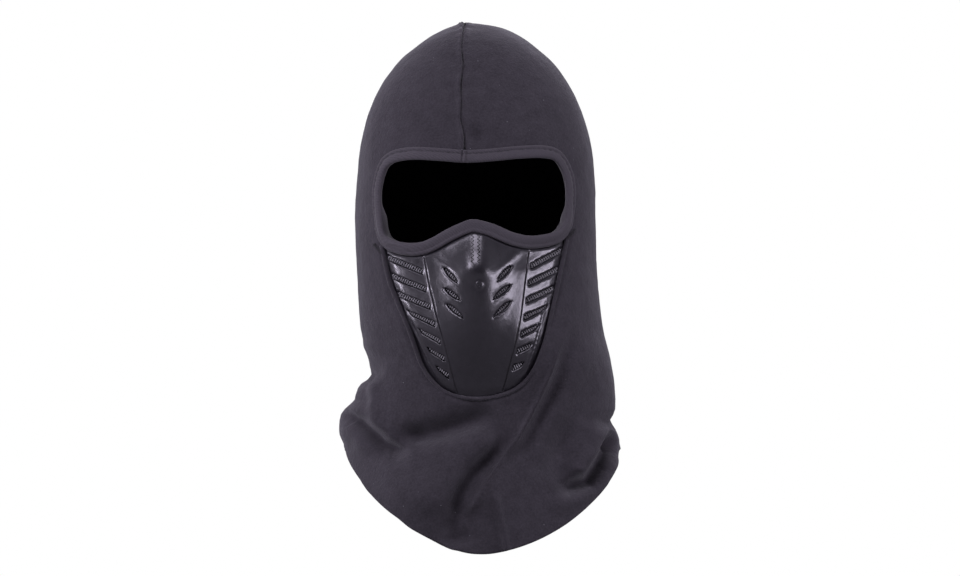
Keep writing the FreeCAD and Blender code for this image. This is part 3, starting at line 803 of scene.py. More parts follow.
def eye_binding():
    """The strip round the eye opening, with its lap beside the crown seam."""
    edge = resample(EYE, 0.5, closed=True)
    share = nose_share(edge[:, 1])
    along = lengths_along(edge)
    join = np.where(edge[:, 1] > BROW_EDGE_Z, edge[:, 0] - JOIN_X, np.inf)
    lap = 0.7 * bell(join, 0.75) - 0.9 * bell(np.abs(join) - 1.6, 0.6)
    rings = []
    for s, h in STRIP_FRONT:
        # the stitched dent is weaker over the nose, where the strip is one smooth roll
        dent = bell(s - BINDING_STITCH_IN, 0.8)
        smooth_h = h + share * dent * 0.55 - share * 1.3 * (s / BINDING_WIDTH) ** 2
        tick = 0.22 * dent * np.sin(along * 2 * math.pi / BINDING_PITCH) * (1 - share)
        rings.append(band_point(s, smooth_h + tick + lap * min(max(h, 0.0), 1.0), edge))
    behind = BINDING_BACK - LAYERS_BEHIND * share
    for s, h in STRIP_BACK:
        rings.append(band_point(s, behind + h, edge))
    rings = np.stack(rings, axis=1)
    lump = 0.22 * wobble(rings, 9, 31) + 0.12 * wobble(rings, 3.2, 32)
    rings = rings + front_normal(*edge.T)[:, None] * lump[..., None]
    rows, around = rings.shape[:2]
    return mesh_object("eye_binding_strip", rings.reshape(-1, 3), strip_quads(rows, around, True, True))


# ---------------------------------------------------------------- mask
MASK_DEPTH = 2.3          # from the fleece's outside back to the mask's edge
MASK_SHELL = 1.9
LEFT_GROOVE = [(-40.5, -173.5), (-36.5, -195), (-30.8, -219), (-24.8, -240), (-20, -260), (-15.8, -276)]
RIGHT_GROOVE = [(38.5, -168.5), (35.2, -189), (31.5, -219), (27.5, -240), (22.8, -259), (18.8, -274.5)]
SLOT_HEIGHT = 4.4
SLOT_EDGE = [0.8, 0.8, 0.8, 2.2, 5.5, 7.0, 7.5]      # from the mask's edge, from the top slot down
SLOT_TIP = [0.5, 0.8, 1.2, 4.0, 3.0, 2.5, 2.5]       # how far the lower outer corner is cut back
SLOT_TO_GROOVE = 3.0
# For each side: groove, outer height of the top slot, pitch, fall of the top slot towards its inner end, and by
# how much each slot falls less than the one over it.
SLOT_ROWS = {-1: (LEFT_GROOVE, -175.0, 13.75, 11.0, 0.75), 1: (RIGHT_GROOVE, -169.8, 14.2, 12.0, 1.5)}
GILLS = [
    ((-26.2, -182.5), (-15, -195.2)), ((-25.5, -198), (-12.8, -208)), ((-24, -209.5), (-10.5, -221.2)),
    ((25.5, -181), (14.2, -193.8)), ((24.8, -195.2), (10.9, -207.2)), ((24.8, -207.4), (11.2, -220.4)),
]
GILL_WIDTH = 3.4
LEFT_FLANGE = [(-57, -212), (-51, -226), (-42.8, -239.5), (-33.8, -258), (-27, -268)]
RIGHT_FLANGE = [(52, -203), (48.8, -216), (42.8, -239.5), (36, -260), (28, -268)]
BOSS = (1.0, -195.5)
BOSS_RADIUS, BOSS_HEIGHT = 1.955, 0.85
ABOVE_MASK = [(56, -146), (30, -140), (-3, -136), (-36, -144), (-60, -150)]    # inside the eye opening
MASK_STEP = 1.0
MASK_MARGIN = 4.0         # of the mask under the turned edge of the fleece
# Rows of points that hold the mask's fine shapes: their distances from the middle of each.
BESIDE_GROOVE, BESIDE_HOLES, BOSS_RINGS = (0.3, 0.6, 0.85, 1.7), (0.45, 1.0), (0.9, 1.7, 2.5, 3.3)
GROOVE_DEPTH, GROOVE_FLOOR, GROOVE_WALL = 1.1, 0.3, 0.3
EDGE_RISE, EDGE_REACH, CENTRE_RISE = 1.5, 7.0, 0.6
SLAT_CROWN, SLAT_ROUNDING, SLAT_DROP = 0.4, 1.6, 0.1
FLANGE = 0.5
GILL_LIP, GILL_DIP = 0.5, 0.45
ARCH_Z = -197.0           # under this the nose's underside runs straight down
NOSE_FACETS, NOSE_UNDER = 1.9, 1.6       # how far its facets rise, and its underside falls back
NOSE_CREASES = [[(-36, -172), (-24, -180), (-14, -190)], [(34, -168), (23, -178), (13, -188)]]
UNDER_BINDING = -2.6      # height of the mask's front where the binding covers it
COVERED = 7.9             # how far from the eye edge it does


def line_x(points, z):
    """x of a falling line of (x, z) points at a height."""
    xs, zs = zip(*sorted(points, key=lambda p: p[1]))
    return np.interp(z, zs, xs)


def rounded(corners, spacing, cut=0.08):
    """Closed polygon with its corners cut round twice, with points about a spacing apart."""
    p = np.array(corners, float)
    for _ in range(2):
        q = np.roll(p, -1, axis=0)
        p = np.stack([p * (1 - cut) + q * cut, p * cut + q * (1 - cut)], axis=1).reshape(-1, 2)
    out = []
    for a, b in zip(p, np.roll(p, -1, axis=0)):
        count = max(int(round(np.linalg.norm(b - a) / spacing)), 1)
        out += [a + (b - a) * k / count for k in range(count)]
    return np.array(out)


def slots():
    """Seven slanting slots on each side, with their outer corners cut to a point lower down."""
    made = []
    for side, (groove, first, pitch, fall, fall_step) in SLOT_ROWS.items():
        outline = [(x, z) for x, z in MASK if x * side > 0]
        for i, (edge, tip) in enumerate(zip(SLOT_EDGE, SLOT_TIP)):
            outer_z = first - pitch * i
            inner_z = outer_z - fall + fall_step * i
            outer_x = line_x(outline, outer_z) - side * edge
            inner_x = line_x(groove, inner_z) + side * SLOT_TO_GROOVE
            half = SLOT_HEIGHT / 2
            corners = [(inner_x, inner_z - half), (inner_x, inner_z + half),
                       (outer_x, outer_z + half), (outer_x - side * tip, outer_z - half)]
            made.append(rounded(corners, 0.8))
    return made


def gills():
    """Three leaf-shaped gills on each side of the nose."""
    made = []
    for a, b in GILLS:
        a, b = np.array(a, float), np.array(b, float)
        way = b - a
        across = np.array([-way[1], way[0]]) / np.linalg.norm(way)
        t = np.linspace(0, 1, 16, endpoint=False)
        wide = np.sin(math.pi * t ** 0.8) * GILL_WIDTH / 2
        upper = a + way * t[:, None] + across * wide[:, None]
        lower = b - way * t[:, None] - across * (np.sin(math.pi * (1 - t) ** 0.8) * GILL_WIDTH / 2)[:, None]
        made.append(np.vstack([upper, lower]))
    return made


SLOT_LOOPS = slots()
GILL_LOOPS = gills()


def loop_distance(x, z, loop):
    """Distance to a closed loop, negative inside it."""
    d, _, _ = near_line(x, z, np.vstack([loop, loop[:1]]))
    return np.where(inside(x, z, loop), -d, d)


def side_panel(x, z):
    """1 in the slatted panels outside the long grooves, 0 in the centre panel."""
    left, right = line_x(LEFT_GROOVE, z), line_x(RIGHT_GROOVE, z)
    return np.maximum(smooth((left - x) / 1.6), smooth((x - right) / 1.6))


def near_loop(x, z, loop, reach_x, reach_z):
    """Which points lie near the middle of a loop."""
    return (np.abs(x - loop[:, 0].mean()) < reach_x) & (np.abs(z - loop[:, 1].mean()) < reach_z)


def slat_relief(x, z):
    """Slats with rounded edges along their slots."""
    to_slot = np.full(x.shape, np.inf)
    for loop in SLOT_LOOPS:
        near = near_loop(x, z, loop, 30, 18)
        if near.any():
            to_slot[near] = np.minimum(to_slot[near], loop_distance(x[near], z[near], loop))
    return SLAT_CROWN * (1 - (1 - np.clip(to_slot / SLAT_ROUNDING, 0, 1)) ** 3) - SLAT_DROP


def groove_relief(x, z):
    """The two long grooves. The mask is folded softly along them, and its side panels fall back."""
    h = np.zeros(x.shape)
    faded = smooth((-172 - z) / 16) * smooth((z + 262) / 26)
    for line, fold in ((LEFT_GROOVE, 0.3), (RIGHT_GROOVE, 1.1)):
        d, _, _ = near_line(x, z, line)
        h += fold * faded * bell(d, 8)
        h -= GROOVE_DEPTH * (1 - smooth((d - GROOVE_FLOOR) / GROOVE_WALL))
    return h


def flange_relief(x, z):
    """The fine ridges with a step beside them, low on the side panels."""
    h = np.zeros(x.shape)
    for line, outer_side in ((LEFT_FLANGE, -1), (RIGHT_FLANGE, 1)):
        d, side, share = near_line(x, z, line)
        step = np.where(side == -outer_side, bell(np.maximum(d - 0.6, 0), 1.2), 0.0)
        h += FLANGE * smooth(share / 0.12) * smooth((1 - share) / 0.12) * (bell(d, 0.8) - step)
    return h


def gill_relief(x, z):
    """A raised lip under each gill, and a dip over it."""
    h = np.zeros(x.shape)
    for (a, b), loop in zip(GILLS, GILL_LOOPS):
        near = near_loop(x, z, loop, 14, 14)
        if not near.any():
            continue
        d = np.maximum(loop_distance(x[near], z[near], loop), 0)
        _, side, share = near_line(x[near], z[near], [a, b])
        lower = side == (-1 if b[0] > a[0] else 1)
        ends = smooth((share + 0.1) / 0.3) * smooth((1.1 - share) / 0.3)
        h[near] += ends * np.where(lower, GILL_LIP * bell(d - 0.4, 0.7), -GILL_DIP * bell(d, 2.2))
    return h


def nose_relief(x, z):
    """Two facets over a tip whose underside falls back, creases to the gills, and the boss."""
    across = np.abs(x - FACE_X)
    h = NOSE_FACETS * bell(np.maximum(across - 3.5, 0), 8) * smooth((z + 200) / 30)
    arch = np.where(z > ARCH_Z, np.hypot(across, z - ARCH_Z), across)
    h -= NOSE_UNDER * smooth((17 - arch) / 16) * (1 - smooth((-186 - z) / 32))
    for crease in NOSE_CREASES:
        h += ridge(x, z, crease, 0.5, 3, 3, fade=(0.3, 0.3))
    boss = np.hypot(x - BOSS[0], z - BOSS[1])
    return h + BOSS_HEIGHT * bell(boss - BOSS_RADIUS, 0.9) - 0.4 * bell(boss, 0.8)


def mask_height(x, z):
    """How far the mask's front stands out of the fleece's smooth outside."""
    edge, _, _ = near_line(x, z, MASK_EDGE)
    edge = np.where(inside(x, z, MASK_HOLE), edge, 0.0)
    panel = side_panel(x, z)
    h = -MASK_DEPTH + EDGE_RISE * smooth(edge / EDGE_REACH)
    h += CENTRE_RISE * (1 - panel) + panel * slat_relief(x, z)
    h += groove_relief(x, z) + flange_relief(x, z) + gill_relief(x, z) + nose_relief(x, z)
    # low under the binding, which crosses the nose on top of it
    free = smooth((loop_distance(x, z, EYE_EDGE) - COVERED) / 3.2)
    return UNDER_BINDING + (h - UNDER_BINDING) * free


def mask_outline(outwards):
    """The outline of a layer of the mask, closed above the eye edge that it stops at."""
    line = MASK_EDGE - left_of(MASK_EDGE) * outwards
    loop = [line]
    corners = np.vstack([line[-1:], ABOVE_MASK, line[:1]])
    for a, b in zip(corners, corners[1:]):
        count = max(int(np.linalg.norm(b - a)), 1)
        loop.append(a + (b - a) * np.arange(1, count + 1)[:, None] / count)
    return np.vstack(loop)


ROW_STEP = 0.87           # of the step, between rows of even triangles
CELL = 0.62               # of the step, the grid on which fixed points crowd out free ones


def cut_sheet(outline, holes, lines, step):
    """Triangles of the area inside outline and outside holes, with points along lines."""
    low, high = outline.min(axis=0), outline.max(axis=0)
    xs, zs = np.arange(low[0], high[0], step), np.arange(low[1], high[1], step * ROW_STEP)
    grid_x, grid_z = np.meshgrid(xs, zs)
    grid_x = grid_x + (np.arange(len(zs)) % 2)[:, None] * step / 2
    grid = np.stack([grid_x.reshape(-1), grid_z.reshape(-1)], axis=1)
    fixed = np.vstack([outline] + holes + lines)
    cells, grid_cells = (np.round(p / (step * CELL)).astype(int).tolist() for p in (fixed, grid))
    taken = {(a + i, b + j) for a, b in cells for i in (-1, 0, 1) for j in (-1, 0, 1)}
    crowded = np.array([tuple(cell) in taken for cell in grid_cells])
    keep = ~crowded & inside(grid[:, 0], grid[:, 1], outline)
    for hole in holes:
        keep &= ~inside(grid[:, 0], grid[:, 1], hole)
    points = np.vstack([fixed, grid[keep]])
    edges, base = [], 0
    for loop in [outline] + holes:
        n = len(loop)
        edges += [(base + k, base + (k + 1) % n) for k in range(n)]
        base += n
    corners, _, sheet_faces, *_ = delaunay_2d_cdt([Vector(p) for p in points.tolist()], edges, [], 0, 1e-4)
    points = np.array([tuple(v) for v in corners])
    triangles = np.array([f for f in sheet_faces if len(f) == 3])
    centre = points[triangles].mean(axis=1)
    keep = inside(centre[:, 0], centre[:, 1], outline)
    for hole in holes:
        keep &= ~inside(centre[:, 0], centre[:, 1], hole)
    used, triangles = np.unique(triangles[keep], return_inverse=True)
    triangles = triangles.reshape(-1, 3)
    points = points[used]
    a, b, c = (points[triangles[:, k]] for k in range(3))
    turned = (b[:, 0] - a[:, 0]) * (c[:, 1] - a[:, 1]) - (b[:, 1] - a[:, 1]) * (c[:, 0] - a[:, 0]) < 0
    triangles[turned] = triangles[turned][:, ::-1]
    return points, triangles


def mask_shell():
    """The moulded mask: one sheet with its slots and gills cut, thickened backwards."""
    lines = []
    for groove in (LEFT_GROOVE, RIGHT_GROOVE):
        line = resample(groove, 0.8)
        lines += [line + left_of(line) * side * s for side in (-1, 1) for s in BESIDE_GROOVE]
    for loop in SLOT_LOOPS + GILL_LOOPS:
        lines += [loop - left_of(loop, closed=True) * s for s in BESIDE_HOLES]
    ring = np.stack([np.cos(rounds(16)), np.sin(rounds(16))], axis=1)
    lines += [BOSS + ring * r for r in BOSS_RINGS]
    holes = [MASK_EYE_CUT] + SLOT_LOOPS + GILL_LOOPS
    points, triangles = cut_sheet(mask_outline(MASK_MARGIN), holes, lines, MASK_STEP)
    skin = front_point(*points.T, mask_height(*points.T))
    return mesh_object("mask_shell_moulded", *thicken(skin, triangles, MASK_SHELL))


# ---------------------------------------------------------------- mesh lining
LINING = 0.7
LINING_HEIGHT = -(MASK_DEPTH + MASK_SHELL + 0.6)
MESH_PITCH = 1.75
STRAND, STRAND_STEP, STRAND_RISE, WEAVE = 0.4, 0.42, 2.9, 0.16


def mesh_lining():
    """A knitted sheet behind the mask, with its strands modelled where the slots show them. The sheet's
    near-black colour is painted shade for the shaded gaps of the knit.
    """
    points, triangles = cut_sheet(mask_outline(3.0), [MASK_EYE_CUT], [], 2.2)
    sheet = thicken(front_point(*points.T, LINING_HEIGHT), triangles, LINING)
    parts = [sheet]
    for loop in SLOT_LOOPS + GILL_LOOPS:
        side = -1 if loop[:, 0].mean() < 0 else 1
        parts += strands(loop, math.radians(90 + 28 * side), STRAND, 0.35)
        parts += strands(loop, math.radians(90 - 48 * side), STRAND * 0.55, -0.5)
    obj = mesh_object("mesh_lining_knit", *merged(parts))
    # the sheet takes the first material, painted near black as shade; the strands take the second
    material_index = np.ones(len(obj.data.polygons), dtype=np.int32)
    material_index[:len(sheet[1])] = 0
    obj.data.polygons.foreach_set("material_index", material_index)
    return obj


def strands(loop, lean, radius, lift):
    """Parallel strands across a slot, sunk to the sheet where they pass under its edge."""
    way = np.array([math.cos(lean), math.sin(lean)])
    across = np.array([-way[1], way[0]])
    offsets, reach = loop @ across / MESH_PITCH, loop @ way
    made = []
    for k in range(math.ceil(offsets.min()), int(offsets.max()) + 1):
        along = np.arange(reach.min() - 1, reach.max() + 1, STRAND_STEP)
        line = across * (k * MESH_PITCH) + way * along[:, None]
        d = -loop_distance(*line.T, loop)
        kept = np.flatnonzero(d > -0.7)
        if len(kept) < 4:
            continue
        line, d = line[kept[0]:kept[-1] + 1], d[kept[0]:kept[-1] + 1]
        weave = WEAVE * np.sin((line @ way) * math.pi / MESH_PITCH + k * math.pi)
        h = LINING_HEIGHT + 0.1 + (STRAND_RISE + lift) * smooth((d + 0.5) / 1.3) + weave
        made.append(tubes(front_point(*line.T, h)[None], front_normal(*line.T)[None], radius, sides=6))
    return made


# ---------------------------------------------------------------- threads
THREAD = 0.34
STITCH = 2.4
BINDING_PITCH = 4.0
SEAM_PITCH = 5.0
SEAM_SUNK = 1.75          # how deep the crown seam's thread lies
HEAD_CENTRE = (-3.0, -2.0, -150.0)
DART_COLUMNS = (-3.9, 0.4)
DART_TOP_Z = -158.0
DART_PITCH = 2.75
DART_ZIGZAGS = 8
DART_WIDTH = 1.9
DART_THREAD_RADIUS = 0.17
BARTACKS = {"left": ((-77, -165), (-71.5, -171.5)), "right": ((66.5, -161), (72, -154))}
BARTACK_WIDTH = 2.0
BARTACK_THREADS = 9


def bent_stitches(starts, ends, fronts, rise, radius=THREAD):
    """Stitches from starts to ends that dive into the cloth at both ends."""
    t = np.linspace(0, 1, 9)[None, :, None]
    paths = starts[:, None] * (1 - t) + ends[:, None] * t
    arch = rise * (1 - (2 * t - 1) ** 4) - radius * 0.9 * (np.abs(2 * t - 1) > 0.95)
    paths = paths + fronts[:, None] * arch
    return tubes(paths, np.broadcast_to(fronts[:, None], paths.shape), radius, ends=0.7)


def jitter(count, amount, seed):
    """Small random shifts."""
    return np.random.default_rng(seed).uniform(-amount, amount, count)


def row_on_front(line, pitch, height, seed):
    """A row of stitches along a front-view line, each a little uneven."""
    lengths = lengths_along(line)
    middle = np.arange(pitch / 2, lengths[-1], pitch)
    middle = middle + jitter(len(middle), 0.25, seed)
    height = np.broadcast_to(np.asarray(height, float), (len(line),))
    tips = []
    for at in (middle - STITCH / 2, middle + STITCH / 2):
        x, z, h = (np.interp(at, lengths, values) for values in (line[:, 0], line[:, 1], height))
        tips.append(front_point(x, z, h))
    x, z = (np.interp(middle, lengths, line[:, k]) for k in (0, 1))
    return bent_stitches(*tips, front_normal(x, z), 0.25)


def eye_binding_thread():
    """One stitch line all round the eye opening, in the binding's dent."""
    line = beside_eyes(BINDING_STITCH_IN, EYE_EDGE)
    line = np.vstack([line, line[:1]])
    height = 0.25 - 1.4 * nose_share(line[:, 1])
    return mesh_object("eye_binding_stitches", *row_on_front(line, BINDING_PITCH, height, 41))


def mask_seam_thread():
    """Stitches beside the turned edge of the fleece, all but its ends."""
    line = MASK_EDGE - left_of(MASK_EDGE) * MASK_STITCH_OUT
    return mesh_object("mask_seam_stitches", *row_on_front(line[12:-12], SEAM_PITCH, -0.6, 42))


def crown_seam_thread():
    """From the brow over the crown and down the back to the hem, down in the seam."""
    front_rows = np.linspace(float(level_at(-95.0)), 0.3, 200)
    back_rows = np.linspace(0.3, NECK + SKIRT_ROWS - 0.04, 600)
    front = garment_points(front_rows, turn_at_x(front_rows, seam_x(section(front_rows)[:, 0]), -1))
    back = garment_points(back_rows, turn_at_x(back_rows, back_seam_x(back_rows), 1))
    back[:, 1] += back_folds(back, math.pi / 2)
    path = np.vstack([front, back])
    lengths = lengths_along(path)
    middle = np.arange(2.0, lengths[-1] - 2, SEAM_PITCH)
    middle = middle + jitter(len(middle), 0.3, 43)
    ends = [np.stack([np.interp(middle + s, lengths, path[:, k]) for k in range(3)], axis=1)
            for s in (-STITCH / 2, STITCH / 2)]
    # outwards is level below the crown, and nearly straight forwards or backwards
    outward = ((ends[0] + ends[1]) / 2 - HEAD_CENTRE) * [0.1, 1, 1]
    outward[:, 2] = np.where(outward[:, 2] > 60, outward[:, 2], 0.0)
    outward = unit(outward)
    starts, stops = (end - outward * SEAM_SUNK for end in ends)
    return mesh_object("crown_seam_stitches", *bent_stitches(starts, stops, outward, 0.2))


def nose_dart_thread():
    """Two zigzag columns down the bridge of the nose."""
    starts, ends = [], []
    for column in DART_COLUMNS:
        for i in range(2 * DART_ZIGZAGS):
            side = DART_WIDTH / 2 * (1 if i % 2 else -1)
            z = DART_TOP_Z - DART_PITCH / 2 * i
            starts.append((column - side, z))
            ends.append((column + side, z - DART_PITCH / 2))
    starts, ends = np.array(starts), np.array(ends)
    a, b = (front_point(*p.T, mask_height(*p.T) + 0.1) for p in (starts, ends))
    fronts = front_normal(*(starts + ends).T / 2)
    return mesh_object("nose_dart_zigzag", *bent_stitches(a, b, fronts, 0.2, radius=DART_THREAD_RADIUS))


def bartack(name, start, end, seed):
    """A close row of threads across a corner of the eye opening."""
    start, end = np.array(start, float), np.array(end, float)
    way = (end - start) / np.linalg.norm(end - start)
    across = np.array([-way[1], way[0]])
    share = np.arange(BARTACK_THREADS) / (BARTACK_THREADS - 1)
    middle = start + (end - start) * share[:, None]
    reach = BARTACK_WIDTH / 2 + jitter(BARTACK_THREADS, 0.25, seed)
    a, b = (front_point(*(middle + across * side * reach[:, None]).T, 0.55) for side in (-1, 1))
    return mesh_object(name, *bent_stitches(a, b, front_normal(*middle.T), 0.35))


# ---------------------------------------------------------------- materials
class Surface:
    """A material in the making. Its patterns lie in the object's own coordinates."""

    def __init__(self, name):
        self.material = bpy.data.materials.new(name)
        self.material.use_nodes = True
        self.tree = self.material.node_tree
        self.shader = self.tree.nodes["Principled BSDF"]
        self.place = self.node("TexCoord").outputs["Object"]

    def put(self, socket, value):
        """Links a socket to another, or sets it to a number or a colour."""
        if isinstance(value, bpy.types.NodeSocket):
            self.tree.links.new(value, socket)
        else:
            socket.default_value = (*value, 1) if isinstance(value, tuple) else value

    def node(self, kind, inputs=None, **settings):
        """A new node with its settings, and its inputs linked or set."""
        node = self.tree.nodes.new("ShaderNode" + kind)
        for name, value in settings.items():
            setattr(node, name, value)
        for key, value in (inputs or {}).items():
            self.put(node.inputs[key], value)
        return node

    def noise(self, size, detail, rough):
        """Noise with features about size mm across."""
        inputs = {"Scale": 1 / (size * MM), "Detail": detail, "Roughness": rough, "Vector": self.place}
        return self.node("TexNoise", inputs).outputs["Fac"]

    def ramp(self, value, start, first, end, last):
        """A colour that turns from first to last while value goes from start to end."""
        node = self.node("ValToRGB", {"Fac": value})
        for element, at, colour in zip(node.color_ramp.elements, (start, end), (first, last)):
            element.position = at
            element.color = (*colour, 1)
        return node.outputs["Color"]

    def bump(self, height, depth, below=None):
        """Bump of a 0 to 1 height, depth mm deep, on top of another."""
        inputs = {"Strength": 1.0, "Distance": depth * MM, "Height": height}
        if below:
            inputs["Normal"] = below
        return self.node("Bump", inputs).outputs["Normal"]

    def mix(self, factor, a, b):
        return self.node("Mix", {0: factor, 6: a, 7: b}, data_type="RGBA").outputs[2]

    def finish(self, colour, roughness, specular, normal, **others):
        """Sets the shader. others are its further sockets, with _ for a space."""
        others.update(Base_Color=colour, Roughness=roughness, Specular_IOR_Level=specular, Normal=normal)
        for name, value in others.items():
            self.put(self.shader.inputs[name.replace("_", " ")], value)
        return self.material


BLACK, WHITE = (0, 0, 0), (1, 1, 1)


def scaled(colour, factor):
    return tuple(c * factor for c in colour)


def fleece_material(name, dark, light, lint, sheen):
    """Brushed pile: soft clumps, fine fibres, a pale bloom at grazing light and a few specks of lint."""
    look = Surface(name)
    colour = look.ramp(look.noise(9.0, 4.0, 0.65), 0.3, dark, 0.7, light)
    grain = look.ramp(look.noise(1.5, 3.0, 0.7), 0.3, scaled(dark, 0.8), 0.75, scaled(light, 1.15))
    colour = look.mix(0.5, colour, grain)
    if lint:
        specks = look.node("TexVoronoi", {"Scale": 1 / (5.5 * MM), "Vector": look.place})
        spot = look.ramp(specks.outputs["Distance"], 0.045, WHITE, 0.075, BLACK)
        chance = look.node("SeparateColor", {"Color": specks.outputs["Color"]}).outputs["Red"]
        few = look.ramp(chance, 0.82, BLACK, 0.86, WHITE)
        both = look.node("Math", {0: spot, 1: few}, operation="MULTIPLY")
        colour = look.mix(both.outputs[0], colour, lint)
    coarse = look.bump(look.noise(3.6, 3.0, 0.6), 0.45)
    normal = look.bump(look.noise(0.9, 2.0, 0.7), 0.22, coarse)
    return look.finish(colour, 0.95, 0.15, normal,
                       Sheen_Weight=sheen, Sheen_Roughness=0.45, Sheen_Tint=(0.86, 0.84, 0.92))


def rubber_material():
    """Moulded soft rubber with a satin skin."""
    dark, light = (0.0050, 0.0044, 0.0066), (0.0095, 0.0083, 0.0118)
    look = Surface("mask_rubber")
    colour = look.ramp(look.noise(6.0, 4.0, 0.6), 0.3, dark, 0.7, light)
    rough = look.node("MapRange", {"Value": look.noise(2.0, 3.0, 0.6), "To Min": 0.25, "To Max": 0.33})
    wave = look.bump(look.noise(7.0, 2.0, 0.5), 0.25)
    normal = look.bump(look.noise(0.7, 2.0, 0.6), 0.03, wave)
    return look.finish(colour, rough.outputs["Result"], 0.75, normal, Specular_Tint=(0.94, 0.90, 1.0))


def knit_material(name, dark, light, rib, depth, sheen):
    """Fine rib knit: narrow waves broken up by noise."""
    look = Surface(name)
    waves = {"Scale": 1 / (rib * MM) / 6.5, "Distortion": 3.0, "Detail": 2.0, "Vector": look.place}
    wave = look.node("TexWave", waves, wave_type="BANDS", bands_direction="DIAGONAL").outputs["Fac"]
    fine = look.noise(0.8, 2.0, 0.6)
    colour = look.mix(0.6, look.ramp(wave, 0.2, dark, 0.8, light), look.ramp(fine, 0.3, dark, 0.7, light))
    normal = look.bump(fine, depth * 0.6, look.bump(wave, depth))
    return look.finish(colour, 0.85, 0.2, normal, Sheen_Weight=sheen, Sheen_Roughness=0.4)


def thread_material(name, dark, light):
    """Twisted sewing thread."""
    look = Surface(name)
    ply = look.noise(0.45, 2.0, 0.5)
    return look.finish(look.ramp(ply, 0.3, dark, 0.7, light), 0.55, 0.3, look.bump(ply, 0.12))


# ---------------------------------------------------------------- build the pieces
FLEECE_OUT = fleece_material("fleece", (0.024, 0.021, 0.027), (0.044, 0.039, 0.049), (0.16, 0.16, 0.18), 0.19)
# The inside is painted far darker than the outside fleece: painted shade, so that it reads black through the
# eye opening.
FLEECE_IN_PAINTED_SHADE = fleece_material("fleece_inside_painted_shade", (0.004, 0.0035, 0.0045), (0.008, 0.007, 0.009), None, 0.0)
BINDING_KNIT = knit_material("binding_knit", (0.042, 0.037, 0.046), (0.067, 0.060, 0.074), 0.55, 0.04, 0.16)
RUBBER = rubber_material()
# The sheet's near-black colour is painted shade, standing in for the shaded gaps of the knit behind the
# strands.
MESH_SHEET_PAINTED_SHADE = knit_material("mesh_sheet_painted_shade", (0.006, 0.005, 0.007), (0.014, 0.0125, 0.016), 0.6, 0.1, 0.0)
MESH_STRAND = knit_material("mesh_strand", (0.20, 0.19, 0.215), (0.36, 0.345, 0.385), 0.6, 0.05, 0.2)
DARK_THREAD = thread_material("dark_thread", (0.012, 0.0105, 0.0135), (0.028, 0.025, 0.031))
DART_THREAD = thread_material("dart_thread", (0.004, 0.0035, 0.0045), (0.010, 0.009, 0.011))


def dress(piece, node, slot, *materials):
    """Gives a piece its materials and its body, and hides the part of the model that it stands for. slot is not
    used.
    """
    for material in materials:
        piece.data.materials.append(material)
    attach(piece, "root")
    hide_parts(node)
    return piece


hood = dress(fleece_hood(), "fleece_hood", "fleece", FLEECE_OUT, FLEECE_IN_PAINTED_SHADE)
dress(eye_binding(), "eye_binding", "binding", BINDING_KNIT)
dress(mask_shell(), "mask_shell", "mask", RUBBER)
lining = dress(mesh_lining(), "mesh_lining", "mesh", MESH_SHEET_PAINTED_SHADE, MESH_STRAND)
dress(eye_binding_thread(), "eye_binding_thread", "thread", DARK_THREAD)
dress(crown_seam_thread(), "crown_seam_thread", "thread", DARK_THREAD)
dress(mask_seam_thread(), "mask_seam_thread", "thread", DARK_THREAD)
dress(nose_dart_thread(), "nose_dart_thread", "thread", DART_THREAD)
for seed, (side, (start, end)) in enumerate(BARTACKS.items(), 51):
    dress(bartack("bartack_threads_" + side, start, end, seed), "bartack_" + side, "thread", DARK_THREAD)


# ---------------------------------------------------------------- studio
VIEW_CENTRE = (1.5, -30.0, -197.8)
VIEW_WIDTH = 719.0        # of the whole picture, at the view's centre
SENSOR = 36.0
FLOOR_Z = -415.0
CAMERA_DISTANCE = 10.0    # this, the lights' places and sizes, and AIM are in metres
AIM = (0.0, 0.0, -0.2)
LIGHT_TINT = (1.0, 0.96, 1.07)
ROOM_FRONT, ROOM_BACK = 0.05, 0.63        # strengths of the room's light


def white_to_camera(tree, surface, white, output):
    """Shows the camera a white shader, and everything else the surface."""
    mix = tree.nodes.new("ShaderNodeMixShader")
    seen = tree.nodes.new("ShaderNodeLightPath").outputs["Is Camera Ray"]
    for socket, value in zip(mix.inputs, (seen, surface.outputs[0], white.outputs[0])):
        tree.links.new(value, socket)
    tree.links.new(mix.outputs[0], tree.nodes[output].inputs["Surface"])


def studio_floor():
    """A plain floor under the object."""
    verts = [(x, y, FLOOR_Z * MM) for x, y in ((-4, -4), (4, -4), (4, 4), (-4, 4))]
    mesh = bpy.data.meshes.new("studio_floor")
    mesh.from_pydata(verts, [], [[0, 1, 2, 3]])
    floor = bpy.data.objects.new("studio_floor", mesh)
    scene.collection.objects.link(floor)
    paint = Surface("studio_white")
    mesh.materials.append(paint.material)
    paint.put(paint.shader.inputs["Base Color"], (0.3, 0.3, 0.3))
    paint.put(paint.shader.inputs["Roughness"], 0.9)
    white_to_camera(paint.tree, paint.shader, paint.node("Emission"), "Material Output")


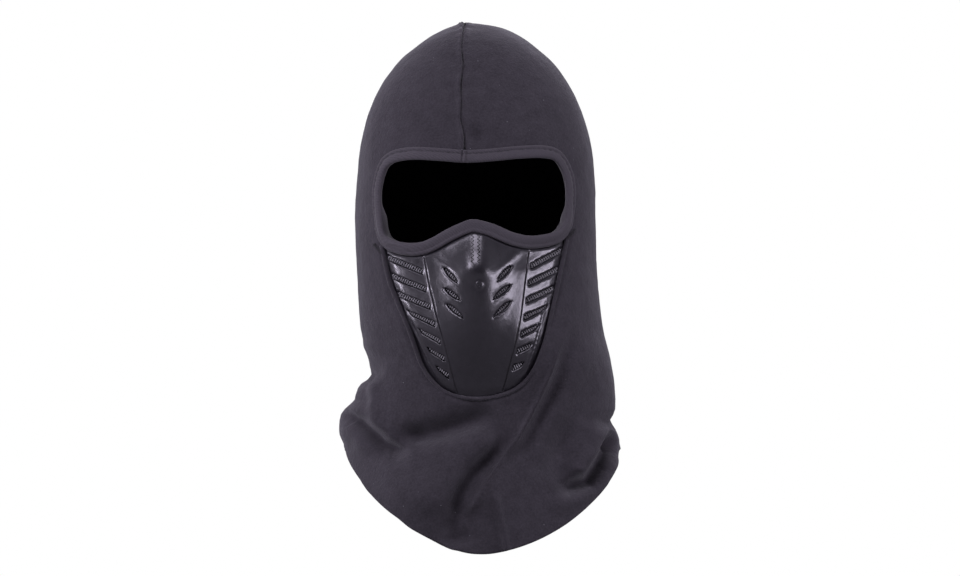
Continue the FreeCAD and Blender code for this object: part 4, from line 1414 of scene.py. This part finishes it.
def area_light(name, place, size, power):
    """A soft rectangular light that points at the middle of the object, in metres and watts."""
    lamp = bpy.data.lights.new(name, "AREA")
    lamp.shape = "RECTANGLE"
    lamp.size, lamp.size_y = size
    lamp.energy = power
    lamp.color = LIGHT_TINT
    light = bpy.data.objects.new(name, lamp)
    light.location = place
    light.rotation_euler = (Vector(AIM) - Vector(place)).to_track_quat("-Z", "Y").to_euler()
    scene.collection.objects.link(light)


def studio_lights():
    """Soft light from above in front, from both sides, and from above behind."""
    area_light("key_light", (-1.2, -1.5, 0.85), (0.8, 0.8), 19)
    area_light("nose_light", (-0.15, -1.45, 1.5), (0.8, 0.8), 14.5)
    area_light("left_light", (-2.2, -0.04, -0.22), (0.6, 0.7), 24)
    area_light("right_light", (2.0, -0.8, -0.25), (1.3, 0.4), 20)
    area_light("back_light", (0.4, 2.4, 1.2), (1.6, 1.4), 22)


def studio_world():
    """White behind the object, and a dimmer room all round it, darkest where the camera stands."""
    world = bpy.data.worlds.new("studio")
    world.use_nodes = True
    tree = world.node_tree
    room, white = tree.nodes["Background"], tree.nodes.new("ShaderNodeBackground")
    room.inputs["Color"].default_value = (*LIGHT_TINT, 1)
    white.inputs["Color"].default_value = (1, 1, 1, 1)
    split = tree.nodes.new("ShaderNodeSeparateXYZ")
    depth = tree.nodes.new("ShaderNodeMapRange")
    for name, value in {"From Min": -1.0, "From Max": 0.3, "To Min": ROOM_FRONT, "To Max": ROOM_BACK}.items():
        depth.inputs[name].default_value = value
    tree.links.new(tree.nodes.new("ShaderNodeTexCoord").outputs["Generated"], split.inputs["Vector"])
    tree.links.new(split.outputs["Y"], depth.inputs["Value"])
    tree.links.new(depth.outputs["Result"], room.inputs["Strength"])
    white_to_camera(tree, room, white, "World Output")
    scene.world = world


def studio_camera():
    """A camera straight in front, far away."""
    camera = bpy.data.cameras.new("camera")
    camera.sensor_width = SENSOR
    camera.lens = SENSOR * CAMERA_DISTANCE / (VIEW_WIDTH * MM)
    camera.clip_end = 50
    holder = bpy.data.objects.new("camera", camera)
    x, y, z = (c * MM for c in VIEW_CENTRE)
    holder.location = (x, y - CAMERA_DISTANCE, z)
    holder.rotation_euler = (math.pi / 2, 0, 0)
    scene.collection.objects.link(holder)
    scene.camera = holder


studio_floor()
studio_lights()
studio_world()
studio_camera()
scene.view_settings.view_transform = "Standard"
